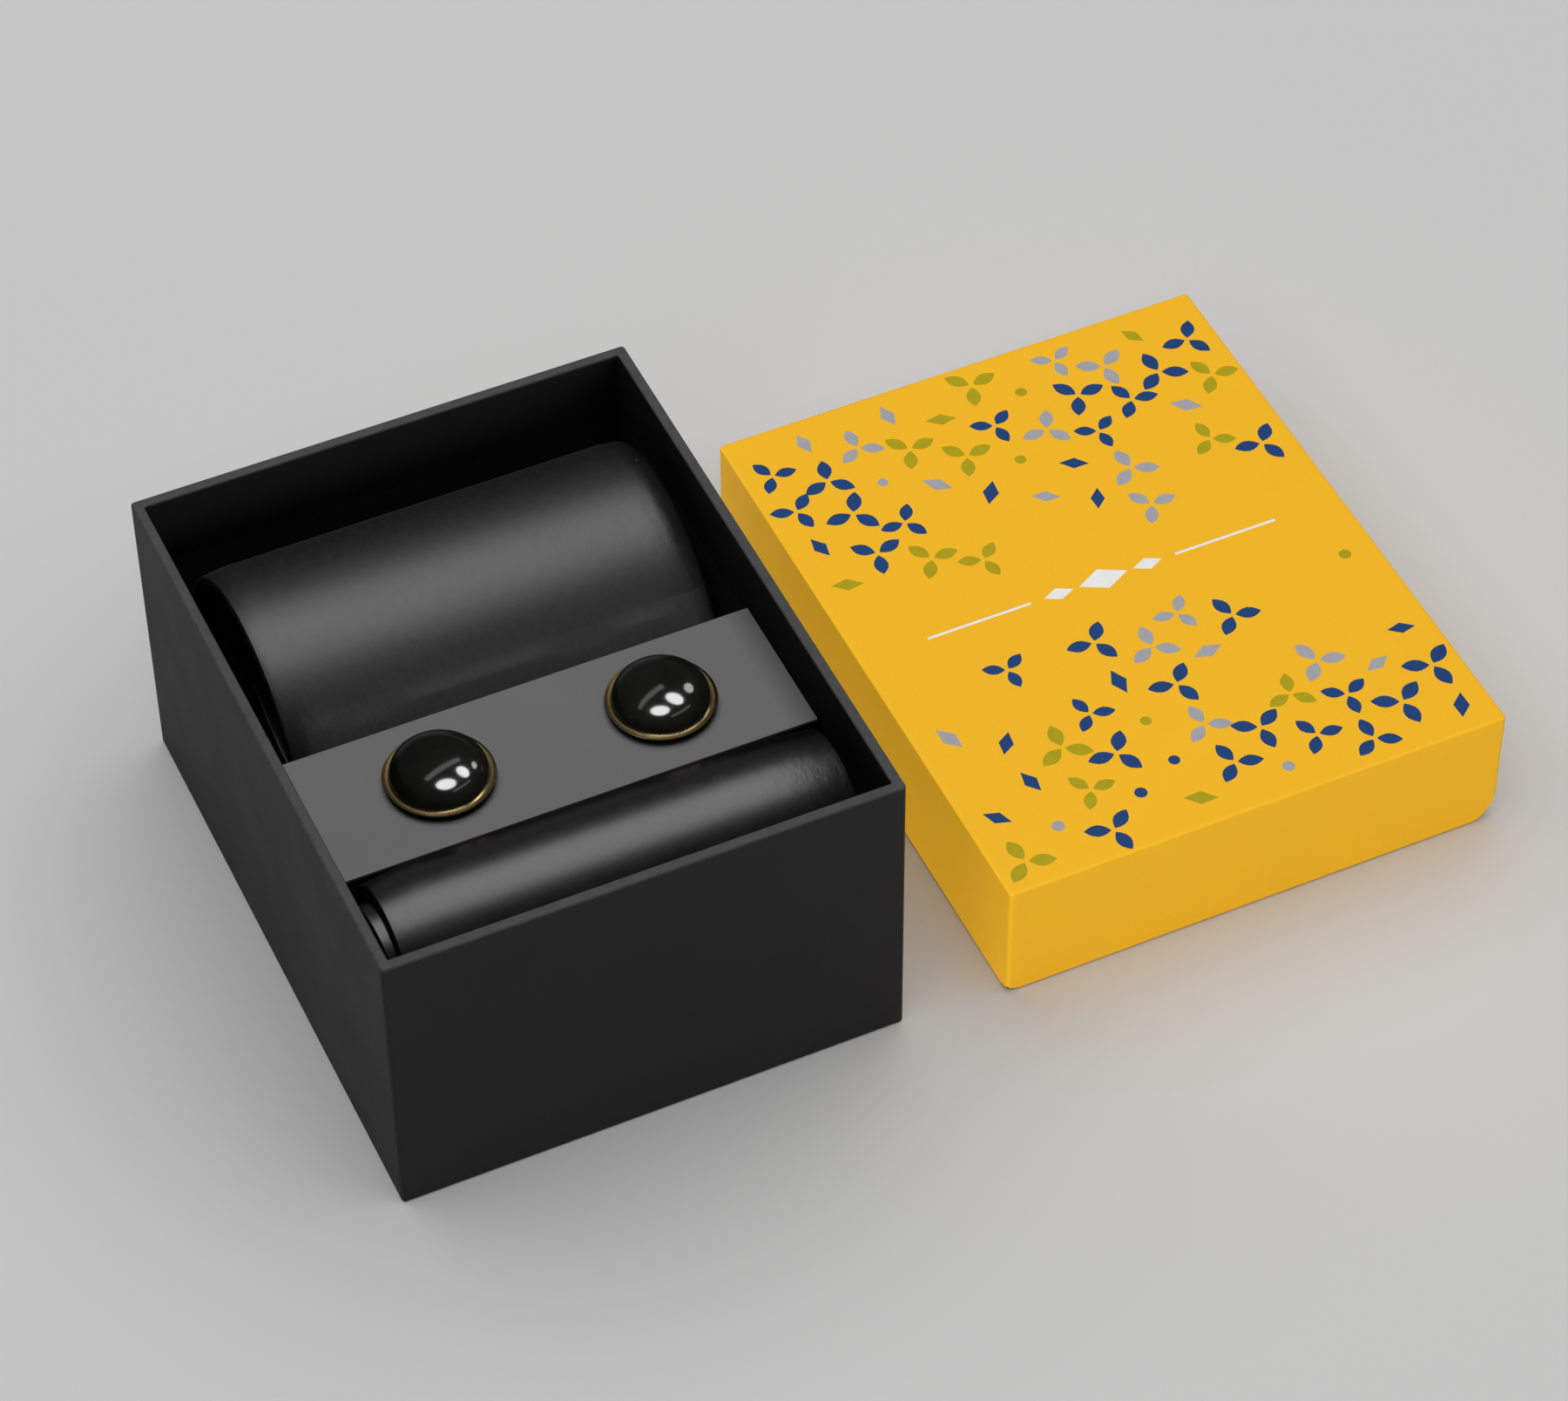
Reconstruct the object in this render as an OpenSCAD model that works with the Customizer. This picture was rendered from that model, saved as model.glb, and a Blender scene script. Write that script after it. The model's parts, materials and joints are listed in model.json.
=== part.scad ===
// Cufflink display box: a paper-covered board tray with its lid standing beside it, a raised bar
// that carries a pair of cufflinks, a rolled necktie behind the bar and a rolled pocket square
// in front of it. Millimetres. The origin is the middle of the tray's underside, +Z is up and
// -Y is the front.

/* [Tray] */
// Outer width of the tray, left to right
tray_width = 96; // [90:1:110]
// Outer depth of the tray, front to back
tray_depth = 120; // [112:1:132]
// Outer height of the tray
tray_height = 62.5; // [58:0.5:70]
// Thickness of the tray's greyboard
tray_board = 1.5; // [1.2:0.1:2]
// How far the covering papers turn in over a rim
turn_in = 15; // [10:1:18]

/* [Papers] */
// Thickness of the covering papers with their glue
wrap = 0.25; // [0.2:0.05:0.35]
// Thickness of the lining papers with their glue
lining = 0.25; // [0.2:0.05:0.35]
// Thickness of the stay tape that holds the board corners together
tape = 0.12; // [0.08:0.01:0.15]
// Length of each leg of a corner tape
tape_leg = 12; // [8:1:16]
// Radius of the crushed vertical board corners
board_corner = 0.5; // [0.3:0.1:1]

/* [Lid] */
// Thickness of the lid's greyboard
lid_board = 1.2; // [1:0.1:1.6]
// Outer height of the lid
lid_height = 26.5; // [22:0.5:34]
// Play between the tray and the lid on each side when the lid is on
lid_play = 0.3; // [0.2:0.1:0.6]
// How far to the right of the tray's middle the lid's middle stands
lid_offset = 117.5; // [112:0.5:150]
// Width of the rounding at the skirt's lower front right corner
relief_width = 5; // [3:0.1:7]
// Height of the rounding at the skirt's lower front right corner
relief_height = 9; // [5:0.5:11]
// Width of the softer rounding at the skirt's other lower corners
soft_width = 3.5; // [2.5:0.1:5]
// Height of the softer rounding at the skirt's other lower corners
soft_height = 2; // [1:0.1:4]

/* [Cufflink bar] */
// How far the bar's top lies below the tray's rim
bar_drop = 12.5; // [11:0.5:16]
// Distance from the tray's middle back to the bar's rear face
bar_rear = 0.9; // [-2:0.1:3]
// Depth of the bar, front to back
bar_depth = 30.2; // [27:0.1:31]
// Thickness of the bar's folded card
bar_card_thickness = 1.25; // [1:0.05:1.5]
// Width of the two feet folded in under the bar
bar_foot = 9; // [6:0.5:12]
// Play between the bar's ends and the tray's linings
bar_play = 0.3; // [0.2:0.1:0.6]
// Length of each slot that a cufflink's back drops through
slot_length = 17; // [16:0.5:18]
// Width of each slot that a cufflink's back drops through
slot_width = 6.4; // [6.2:0.1:8]

/* [Cufflinks] */
// Middle of the left cufflink, measured from the tray's middle
left_cufflink_x = -19.5; // [-30:0.1:-14]
// Middle of the right cufflink, measured from the tray's middle
right_cufflink_x = 22.4; // [14:0.1:30]
// Diameter of a cufflink's face over its gold bezel
face_diameter = 20; // [19:0.5:21]
// Height of the dark cup below the bezel
cup_height = 1.2; // [1:0.1:1.8]
// Height of the bezel above the cup
bezel_height = 0.7; // [0.6:0.1:1.2]
// Height of the polished stone's dome above the bezel
dome_height = 5.5; // [4:0.1:6]
// Distance from the cup's underside down to the toggle's pin
post_length = 16; // [14:0.5:18]
// Length of the bullet-shaped toggle
toggle_length = 15; // [12:0.5:15]
// Diameter of the bullet-shaped toggle
toggle_diameter = 3.6; // [3.2:0.1:3.8]

/* [Rolled necktie] */
// Width of the tie's blade, which is the length of the roll
tie_blade = 82; // [76:1:84]
// Width of the tie's narrow middle, at the core of the roll
tie_neck = 40; // [34:1:50]
// How far the roll's middle lies to the right of the tray's middle
tie_shift = 1; // [-2:0.1:2]
// Turns of the folded tie in the roll
tie_turns = 8; // [6:1:9]

/* [Rolled pocket square] */
// Width of the folded square, which is the length of its roll
square_width = 84.6; // [78:0.2:86]
// Height of the flattened roll
square_height = 57; // [44:0.5:57]
// How far the roll's middle lies to the right of the tray's middle
square_shift = 0.3; // [-1:0.1:1]
// Turns of the folded square in the roll
square_turns = 4; // [3:1:5]
// How far the inner turns have slipped out at the left end
square_slip = 2.4; // [0:0.1:3]

/* [Hidden] */
$fn = 64;

past = 1; // how far a cutting shape runs past the face that it cuts
corner_radius = board_corner + wrap; // the covered vertical corners

// Tray: x and y reach from the middle, z from the underside
tray_wall = wrap + tray_board + lining;
tray_floor = wrap + tray_board + lining;
tray_board_x = tray_width / 2 - wrap;
tray_board_y = tray_depth / 2 - wrap;
tray_inner_x = tray_width / 2 - tray_wall;
tray_inner_y = tray_depth / 2 - tray_wall;
tray_turn_z = tray_height - turn_in;
tray_tape_z = [3, tray_height - 2.5];

// Lid, in its own frame: its skirt's rim is at z = 0
lid_wall = wrap + lid_board + lining;
lid_x = tray_width / 2 + lid_play + lid_wall;
lid_y = tray_depth / 2 + lid_play + lid_wall;
lid_board_x = lid_x - wrap;
lid_board_y = lid_y - wrap;
lid_ceiling = lid_height - lid_wall;
lid_tape_z = [relief_height + 1, lid_height - 2];
relief_steps = 10;
// Each lower skirt corner: its side in x and y, and its rounding's width and height
skirt_corners = [
    [1, -1, relief_width, relief_height],
    [-1, -1, soft_width, soft_height],
    [1, 1, soft_width, soft_height],
    [-1, 1, soft_width, soft_height]
];

// Cufflink bar
bar_top = tray_height - bar_drop;
bar_length = 2 * (tray_inner_x - bar_play);
bar_front = bar_rear - bar_depth;
bar_middle = bar_rear - bar_depth / 2;
card_top = bar_top - wrap;

// Cufflinks, in their own frame: the cup's underside is at z = 0 and the slot runs along x
cup_radius = face_diameter / 2 - 0.1;
cup_base_radius = cup_radius - 0.6;
cup_floor = 0.5;
bezel_top_radius = face_diameter / 2 - 0.7;
stone_radius = face_diameter / 2 - 1.25;
stone_play = 0.03;
dome_steps = 14;
arm_thickness = 1;
arm_play = 0.15;
arm_inner = toggle_diameter / 2 + arm_play;
arm_outer = arm_inner + arm_thickness;
arm_radius = 1.7;
bridge_height = 1.6;
bridge_reach = 2.2;
pin_radius = 0.6;
pin_play = 0.05;

// Rolled cloth
roll_gap = 0.35; // between a roll and what stands round it
layer_gap = 0.4; // between one turn of cloth and the next
climb_start = 5 / 6; // the share of a turn after which the cloth climbs to the next turn
tie_radius = (tray_inner_y - bar_rear) / 2 - roll_gap;
tie_middle = [(tray_inner_y + bar_rear) / 2, tray_floor + roll_gap + tie_radius];
tie_core = 3.7;
tie_pitch = (tie_radius - tie_core) / (tie_turns - 1);
tie_tip = 1.5; // half the width left at the tip of the blade
square_radius = (tray_inner_y + bar_front) / 2 - roll_gap;
square_middle = [
    (bar_front - tray_inner_y) / 2,
    tray_floor + roll_gap + square_height / 2
];
square_core = 3.8;
square_pitch = (square_radius - square_core) / (square_turns - 1);
square_straight = square_height - 2 * square_radius;
stations_per_turn = 24;

board_colour = "#a39a8c";
tape_colour = "#e2d6bc";
black_paper = "#2a282a";
black_lining = "#1b1a1c";
yellow_paper = "#f3b82d";
grey_paper = "#6e6e6f";
grey_card = "#8b8a88";
dark_metal = "#26262a";
gold = "#c99b35";
steel = "#a9adb3";
black_stone = "#08080a";
tie_silk = "#19191b";
square_cotton = "#201f21";

// ---- shared shapes ----

module rounded_rectangle(half_x, half_y, radius) {
    square([2 * (half_x - radius), 2 * half_y], center = true);
    square([2 * half_x, 2 * (half_y - radius)], center = true);
    for (x = [-1, 1], y = [-1, 1])
        translate([x * (half_x - radius), y * (half_y - radius)]) circle(radius);
}

// A block with rounded vertical corners between two heights
module upright_block(half_x, half_y, radius, low, high) {
    translate([0, 0, low]) linear_extrude(high - low) rounded_rectangle(half_x, half_y, radius);
}

// A plain block centred on z, between two heights
module plain_block(half_x, half_y, low, high) {
    translate([-half_x, -half_y, low]) cube([2 * half_x, 2 * half_y, high - low]);
}

// The two walls along the sides, full depth, with crushed outer corners
module side_walls(half_x, half_y, thickness, low, high) {
    for (side = [-1, 1])
        intersection() {
            upright_block(half_x, half_y, board_corner, low, high);
            translate([side * (half_x - thickness / 2), 0, 0])
                plain_block(thickness / 2, half_y, low, high);
        }
}

// The two walls at the front and back, fitted between the side walls
module end_walls(half_x, half_y, thickness, low, high) {
    for (end = [-1, 1])
        translate([0, end * (half_y - thickness / 2), 0])
            plain_block(half_x - thickness, thickness / 2, low, high);
}

// Four strips of paper tape folded round the outside of the board corners
module corner_tapes(half_x, half_y, z_range) {
    intersection() {
        difference() {
            upright_block(half_x + tape, half_y + tape, board_corner + tape, z_range[0], z_range[1]);
            upright_block(half_x, half_y, board_corner, z_range[0] - past, z_range[1] + past);
        }
        for (x = [-1, 1], y = [-1, 1])
            translate([x * half_x, y * half_y, 0])
                plain_block(tape_leg, tape_leg, z_range[0], z_range[1]);
    }
}

// ---- tray ----

module tray_boards() {
    upright_block(tray_board_x, tray_board_y, board_corner, wrap, tray_height - wrap);
}

module tray_floor_board() {
    color(board_colour)
        plain_block(tray_board_x - tray_board, tray_board_y - tray_board, wrap, wrap + tray_board);
}

module tray_side_boards() {
    color(board_colour)
        side_walls(tray_board_x, tray_board_y, tray_board, wrap, tray_height - wrap);
}

module tray_end_boards() {
    color(board_colour)
        end_walls(tray_board_x, tray_board_y, tray_board, wrap, tray_height - wrap);
}

module tray_corner_tapes() {
    color(tape_colour) corner_tapes(tray_board_x, tray_board_y, tray_tape_z);
}

// One sheet that covers the underside and the walls and turns in over the rim
module tray_wrap() {
    color(black_paper)
        difference() {
            upright_block(tray_width / 2, tray_depth / 2, corner_radius, 0, tray_height);
            difference() {
                tray_boards();
                plain_block(tray_inner_x + lining, tray_inner_y + lining,
                    tray_turn_z, tray_height + past);
            }
            plain_block(tray_inner_x, tray_inner_y, tray_turn_z - past, tray_height + past);
            tray_corner_tapes();
        }
}

module tray_wall_lining() {
    color(black_lining)
        difference() {
            plain_block(tray_inner_x + lining, tray_inner_y + lining, tray_floor - lining, tray_turn_z);
            plain_block(tray_inner_x, tray_inner_y, 0, tray_height);
        }
}

module tray_floor_lining() {
    color(black_lining)
        plain_block(tray_inner_x, tray_inner_y, tray_floor - lining, tray_floor);
}

// ---- lid ----

// What a rounded lower corner takes off a wall, seen square on: the outer corner is at 0, 0
module corner_relief(width, height, inset) {
    arc = [
        for (i = [0 : relief_steps])
            let (a = 90 * i / relief_steps)
                [width - (width - inset) * cos(a), height - (height - inset) * sin(a)]
    ];
    polygon(concat([[-past, -past], [-past, height]], arc, [[width, -past]]));
}

// Takes a rounded lower corner off the two walls that meet at 0, 0, mitred where they meet
module corner_cut(width, height, inset) {
    reach = lid_wall + past;
    for (wall = [0, 1])
        mirror([wall, -wall, 0])
            intersection() {
                translate([0, past, 0]) rotate([90, 0, 0]) mirror([1, 0, 0])
                    linear_extrude(reach) corner_relief(width, height, inset);
                translate([0, 0, -past]) linear_extrude(height + past)
                    polygon([[past, past], [-reach, -reach], [-width - past, -reach], [-width - past, past]]);
            }
}

// The rounded lower corners all round the skirt
module skirt_reliefs(inset) {
    for (c = skirt_corners)
        mirror([c[0] > 0 ? 0 : 1, 0, 0]) mirror([0, c[1] > 0 ? 0 : 1, 0])
            translate([lid_x, lid_y, 0]) corner_cut(c[2], c[3], inset);
}

module place_lid() {
    translate([lid_offset, 0, 0]) children();
}

module lid_top_board() {
    color(board_colour) place_lid()
        plain_block(lid_board_x - lid_board, lid_board_y - lid_board,
            lid_ceiling + lining, lid_height - wrap);
}

module lid_side_boards() {
    color(board_colour) place_lid()
        difference() {
            side_walls(lid_board_x, lid_board_y, lid_board, wrap, lid_height - wrap);
            skirt_reliefs(wrap);
        }
}

module lid_end_boards() {
    color(board_colour) place_lid()
        difference() {
            end_walls(lid_board_x, lid_board_y, lid_board, wrap, lid_height - wrap);
            skirt_reliefs(wrap);
        }
}

module lid_corner_tapes() {
    color(tape_colour) place_lid() corner_tapes(lid_board_x, lid_board_y, lid_tape_z);
}

// One sheet that covers the top and the skirt and turns in over the skirt's rim
module lid_wrap() {
    inner_x = lid_x - lid_wall;
    inner_y = lid_y - lid_wall;
    color(yellow_paper) place_lid()
        difference() {
            upright_block(lid_x, lid_y, corner_radius, 0, lid_height);
            difference() {
                upright_block(lid_board_x, lid_board_y, board_corner, wrap, lid_height - wrap);
                plain_block(inner_x + lining, inner_y + lining, -past, turn_in);
                skirt_reliefs(wrap);
            }
            plain_block(inner_x, inner_y, -past, turn_in + past);
            corner_tapes(lid_board_x, lid_board_y, lid_tape_z);
            skirt_reliefs(0);
        }
}

module lid_wall_lining() {
    inner_x = lid_x - lid_wall;
    inner_y = lid_y - lid_wall;
    color(black_lining) place_lid()
        difference() {
            plain_block(inner_x + lining, inner_y + lining, turn_in, lid_ceiling + lining);
            plain_block(inner_x, inner_y, 0, lid_height);
        }
}

module lid_top_lining() {
    color(black_lining) place_lid()
        plain_block(lid_x - lid_wall, lid_y - lid_wall, lid_ceiling, lid_ceiling + lining);
}

// ---- cufflink bar ----

module slots(low, high) {
    for (x = [left_cufflink_x, right_cufflink_x])
        translate([x, bar_middle, 0])
            plain_block(slot_length / 2, slot_width / 2, low, high);
}

// One folded card: a top, two legs and two feet turned in under the bar
module bar_card() {
    front = bar_front + wrap;
    rear = bar_rear - wrap;
    color(grey_card)
        difference() {
            translate([-bar_length / 2, front, tray_floor])
                cube([bar_length, rear - front, card_top - tray_floor]);
            translate([-bar_length / 2 - past, front + bar_card_thickness, tray_floor + bar_card_thickness])
                cube([bar_length + 2 * past, rear - front - 2 * bar_card_thickness,
                    card_top - tray_floor - 2 * bar_card_thickness]);
            translate([-bar_length / 2 - past, front + bar_foot, tray_floor - past])
                cube([bar_length + 2 * past, rear - front - 2 * bar_foot, bar_card_thickness + 2 * past]);
            slots(card_top - 2 * bar_card_thickness, card_top + past);
        }
}

// Grey paper over the top and down both legs
module bar_cover() {
    color(grey_paper)
        difference() {
            translate([-bar_length / 2, bar_front, tray_floor])
                cube([bar_length, bar_depth, bar_top - tray_floor]);
            translate([-bar_length / 2 - past, bar_front + wrap, tray_floor - past])
                cube([bar_length + 2 * past, bar_depth - 2 * wrap, card_top - tray_floor + past]);
            slots(card_top - past, bar_top + past);
        }
}

// ---- cufflinks ----

module place_cufflink(x) {
    translate([x, bar_middle, bar_top]) children();
}

// A shallow dished cup with a flat floor that the stone is set in
module cup() {
    color(dark_metal)
        difference() {
            cylinder(h = cup_height, r1 = cup_base_radius, r2 = cup_radius);
            translate([0, 0, cup_floor])
                cylinder(h = cup_height, r = stone_radius + stone_play);
        }
}

// The gold rim that is rubbed over the stone's edge
module bezel() {
    inner = stone_radius + stone_play;
    outer = face_diameter / 2;
    soft = 0.3;
    color(gold)
        translate([0, 0, cup_height])
            rotate_extrude()
                polygon([
                    [inner, 0],
                    [outer - soft, 0],
                    [outer, soft],
                    [outer - soft / 4, 0.6 * bezel_height],
                    [bezel_top_radius + soft / 2, bezel_height - soft / 4],
                    [bezel_top_radius - soft / 2, bezel_height],
                    [inner, bezel_height - soft / 2]
                ]);
}

// A high polished dome on a straight girdle
module stone() {
    girdle = cup_height + bezel_height;
    dome = [
        for (i = [0 : dome_steps])
            let (a = 90 * i / dome_steps)
                [i == dome_steps ? 0 : stone_radius * cos(a), girdle + dome_height * sin(a)]
    ];
    color(black_stone)
        rotate_extrude()
            polygon(concat([[0, cup_floor], [stone_radius, cup_floor]], dome));
}

// Two arms under the cup, with the toggle's pin through their ends
module post() {
    color(steel)
        difference() {
            union() {
                plain_block(bridge_reach, arm_outer, -bridge_height, 0);
                for (side = [-1, 1])
                    translate([0, side * (arm_inner + arm_thickness / 2), 0]) {
                        plain_block(arm_radius, arm_thickness / 2, -post_length, -bridge_height);
                        translate([0, 0, -post_length]) rotate([90, 0, 0])
                            cylinder(h = arm_thickness, r = arm_radius, center = true);
                    }
            }
            translate([0, 0, -post_length]) rotate([90, 0, 0])
                cylinder(h = 2 * (arm_outer + past), r = pin_radius, center = true);
        }
}

module pin() {
    color(steel)
        translate([0, 0, -post_length]) rotate([90, 0, 0])
            cylinder(h = 2 * arm_outer, r = pin_radius, center = true);
}

// A bullet-shaped bar that swings on the pin
module toggle() {
    radius = toggle_diameter / 2;
    reach = toggle_length / 2 - radius;
    color(dark_metal)
        translate([0, 0, -post_length])
            difference() {
                union() {
                    rotate([0, 90, 0]) cylinder(h = 2 * reach, r = radius, center = true);
                    for (end = [-1, 1]) translate([end * reach, 0, 0]) sphere(radius);
                }
                rotate([90, 0, 0])
                    cylinder(h = toggle_diameter + 2 * past, r = pin_radius + pin_play, center = true);
            }
}

module left_cup() { place_cufflink(left_cufflink_x) cup(); }
module left_bezel() { place_cufflink(left_cufflink_x) bezel(); }
module left_stone() { place_cufflink(left_cufflink_x) stone(); }
module left_post() { place_cufflink(left_cufflink_x) post(); }
module left_pin() { place_cufflink(left_cufflink_x) pin(); }
module left_toggle() { place_cufflink(left_cufflink_x) toggle(); }
module right_cup() { place_cufflink(right_cufflink_x) cup(); }
module right_bezel() { place_cufflink(right_cufflink_x) bezel(); }
module right_stone() { place_cufflink(right_cufflink_x) stone(); }
module right_post() { place_cufflink(right_cufflink_x) post(); }
module right_pin() { place_cufflink(right_cufflink_x) pin(); }
module right_toggle() { place_cufflink(right_cufflink_x) toggle(); }

// ---- rolled cloth ----

function clamp(t) = min(1, max(0, t));
function smooth(t) = t * t * (3 - 2 * t);

// How many layers have been climbed after so many turns: each turn runs level and then climbs
function layers(turn) =
    floor(turn) + smooth(clamp((turn - floor(turn) - climb_start) / (1 - climb_start)));

// A point of the winding in the y, z plane; the two half rounds stand apart by straight
function winding_point(turn, radius, straight) =
    let (a = 360 * (turn - floor(turn)), lift = a <= 180 ? straight / 2 : -straight / 2)
        [radius * cos(a), radius * sin(a) + lift];

// The strip's four corners at one station, from its limits in x
function strip_corners(limits, inner, outer) = [
    [limits[0], inner[0], inner[1]],
    [limits[1], inner[0], inner[1]],
    [limits[1], outer[0], outer[1]],
    [limits[0], outer[0], outer[1]]
];

// A strip of cloth wound from its core outwards. limits holds its x limits at each station.
module wound_strip(turns, core, pitch, straight, middle, limits) {
    last = len(limits) - 1;
    points = [
        for (i = [0 : last])
            let (
                turn = turns * i / last,
                outer_radius = core + pitch * layers(turn),
                outer = winding_point(turn, outer_radius, straight),
                inner = winding_point(turn, outer_radius - pitch + layer_gap, straight)
            )
                each strip_corners(limits[i], inner + middle, outer + middle)
    ];
    sides = [
        for (i = [0 : last - 1], k = [0 : 3])
            let (a = 4 * i + k, b = 4 * i + (k + 1) % 4)
                each [[a, b, b + 4], [a, b + 4, a + 4]]
    ];
    ends = [[2, 1, 0], [3, 2, 0], [4 * last, 4 * last + 1, 4 * last + 2],
        [4 * last, 4 * last + 2, 4 * last + 3]];
    polyhedron(points, concat(sides, ends), convexity = 10);
}

// The folded tie is narrow at the core, widens to its blade and ends in a point underneath
module necktie() {
    turns = tie_turns - 1 + climb_start;
    stations = round(turns * stations_per_turn);
    limits = [
        for (i = [0 : stations])
            let (
                turn = turns * i / stations,
                widening = clamp(turn / (tie_turns - 1)),
                to_tip = (turns - turn) * 2 * PI * tie_radius,
                half = min((tie_neck + (tie_blade - tie_neck) * widening) / 2, tie_tip + to_tip)
            )
                [tie_shift - half, tie_shift + half]
    ];
    color(tie_silk) wound_strip(turns, tie_core, tie_pitch, 0, tie_middle, limits);
}

// The folded square is rolled flat, and its inner turns have slipped out a little on the left
module pocket_square() {
    turns = square_turns - 1 + climb_start;
    stations = round(turns * stations_per_turn);
    limits = [
        for (i = [0 : stations])
            let (
                turn = turns * i / stations,
                slip = square_slip * (1 - smooth(clamp(turn - (square_turns - 2)))),
                middle = square_shift - slip
            )
                [middle - square_width / 2, middle + square_width / 2]
    ];
    color(square_cotton)
        wound_strip(turns, square_core, square_pitch, square_straight, square_middle, limits);
}

tray_floor_board();
tray_side_boards();
tray_end_boards();
tray_corner_tapes();
tray_wrap();
tray_wall_lining();
tray_floor_lining();
lid_top_board();
lid_side_boards();
lid_end_boards();
lid_corner_tapes();
lid_wrap();
lid_wall_lining();
lid_top_lining();
bar_card();
bar_cover();
left_cup();
left_bezel();
left_stone();
left_post();
left_pin();
left_toggle();
right_cup();
right_bezel();
right_stone();
right_post();
right_pin();
right_toggle();
necktie();
pocket_square();
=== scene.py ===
import json
import math

import bmesh
import bpy
from bpy.props import FloatProperty, FloatVectorProperty, IntProperty, PointerProperty
from mathutils import Matrix, Vector

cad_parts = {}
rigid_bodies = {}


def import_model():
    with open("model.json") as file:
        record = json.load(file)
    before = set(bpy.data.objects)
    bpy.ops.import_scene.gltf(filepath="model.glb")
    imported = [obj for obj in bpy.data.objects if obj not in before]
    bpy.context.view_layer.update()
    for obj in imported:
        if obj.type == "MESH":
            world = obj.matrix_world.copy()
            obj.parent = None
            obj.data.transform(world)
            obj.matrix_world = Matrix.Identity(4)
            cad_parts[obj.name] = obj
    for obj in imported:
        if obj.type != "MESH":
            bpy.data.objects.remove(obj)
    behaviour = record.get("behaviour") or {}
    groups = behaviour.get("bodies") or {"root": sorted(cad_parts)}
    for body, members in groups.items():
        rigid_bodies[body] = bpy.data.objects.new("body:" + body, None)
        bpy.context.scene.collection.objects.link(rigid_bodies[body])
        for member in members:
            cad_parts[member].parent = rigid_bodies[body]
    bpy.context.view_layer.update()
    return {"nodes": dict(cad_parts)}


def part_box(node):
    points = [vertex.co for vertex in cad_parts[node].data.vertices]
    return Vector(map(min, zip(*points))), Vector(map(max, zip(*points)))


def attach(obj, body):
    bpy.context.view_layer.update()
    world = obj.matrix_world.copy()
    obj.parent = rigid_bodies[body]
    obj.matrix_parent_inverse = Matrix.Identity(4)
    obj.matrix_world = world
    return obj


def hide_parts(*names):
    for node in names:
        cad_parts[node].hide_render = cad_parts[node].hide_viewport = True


bl_info = {
    "name": "Cufflink display box",
    "version": (1, 0, 0),
    "blender": (4, 5, 0),
    "location": "View3D > Sidebar > Cufflink Box",
    "description": "Papers, cloth, metal and stage for the cufflink display box",
    "category": "Object",
}

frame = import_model()
MM = 0.001


def node_box(node):
    """A CAD node's lowest and highest corners at rest, in millimetres."""
    low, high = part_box(node)
    return [v / MM for v in low], [v / MM for v in high]


TRAY_LOW, TRAY_HIGH = node_box("tray_wrap")
LID_LOW, LID_HIGH = node_box("lid_wrap")
BAR_LOW, BAR_HIGH = node_box("bar_cover")
TIE_LOW, TIE_HIGH = node_box("necktie")

# Shared sizes, in millimetres
SKIN = 0.12  # thickness of a covering paper on the outside of a wall
PAPER = 0.25  # its thickness over a rim, in a turn-in and on the bar
BOX_CORNER = 0.75  # radius of the tray's and the lid's upright corners


# ---- settings ----


def length_setting(name, description, default, low, high):
    return FloatProperty(name=name, description=description, default=default, min=low, max=high,
                         precision=5, unit="LENGTH")


def colour_setting(name, description, default):
    return FloatVectorProperty(name=name, description=description, default=default,
                               min=0, max=1, subtype="COLOR")


def power_setting(name, description, default):
    return FloatProperty(name=name, description=description, default=default, min=0, unit="POWER")


class PaperSettings(bpy.types.PropertyGroup):
    """The papers that cover the tray, the lid and the bar"""

    fold_radius: length_setting(
        "Fold radius", "Rounding of the paper over a board edge", 0.00042, 0.00026, 0.0008)
    turn_in: length_setting(
        "Turn-in", "How far the covering papers turn in over a rim", 0.015, 0.008, 0.02)
    tray_colour: colour_setting(
        "Tray paper", "Colour of the tray's black paper", (0.0112, 0.0100, 0.0106))
    # The rim's colour is partly rubbed paper and partly a painted highlight
    rim_wear_and_highlight: colour_setting(
        "Rim wear and highlight", "Colour of the tray's rim: rubbed paper with a painted highlight", (0.064, 0.063, 0.065))
    lid_colour: colour_setting(
        "Lid paper", "Colour of the lid's yellow paper", (0.945, 0.500, 0.0165))
    bar_colour: colour_setting(
        "Bar paper", "Colour of the grey paper on top of the cufflink bar", (0.155, 0.155, 0.157))


class LidPrintSettings(bpy.types.PropertyGroup):
    """The ornament printed on the lid's top"""

    spacing: length_setting(
        "Spacing", "Distance between two motifs of a row", 0.0104, 0.006, 0.02)
    petal: length_setting(
        "Petal length", "Length of one petal of a trefoil", 0.0051, 0.002, 0.007)
    bare_band: length_setting(
        "Bare band", "Half the depth of the unprinted band across the middle", 0.013, 0.0, 0.04)
    ink_thickness: length_setting(
        "Ink thickness", "Thickness of the ink, half of it above the paper", 0.00003, 0.00001, 0.0001)
    seed: IntProperty(
        name="Seed", description="Arrangement of the motifs", default=7, min=0)
    navy: colour_setting("Navy ink", "Colour of the first ink", (0.0112, 0.0530, 0.184))
    olive: colour_setting("Olive ink", "Colour of the second ink", (0.430, 0.345, 0.0060))
    grey: colour_setting("Grey ink", "Colour of the third ink", (0.375, 0.375, 0.395))


class CufflinkSettings(bpy.types.PropertyGroup):
    """The pair of cufflinks"""

    dome: length_setting(
        "Dome height", "Height of the stone's dome above the bezel", 0.0055, 0.003, 0.007)
    stone: colour_setting(
        "Stone", "Body colour of the polished stone", (0.0022, 0.0022, 0.0020))
    gold: colour_setting("Gold", "Colour of the bezel", (0.80, 0.61, 0.28))


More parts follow.
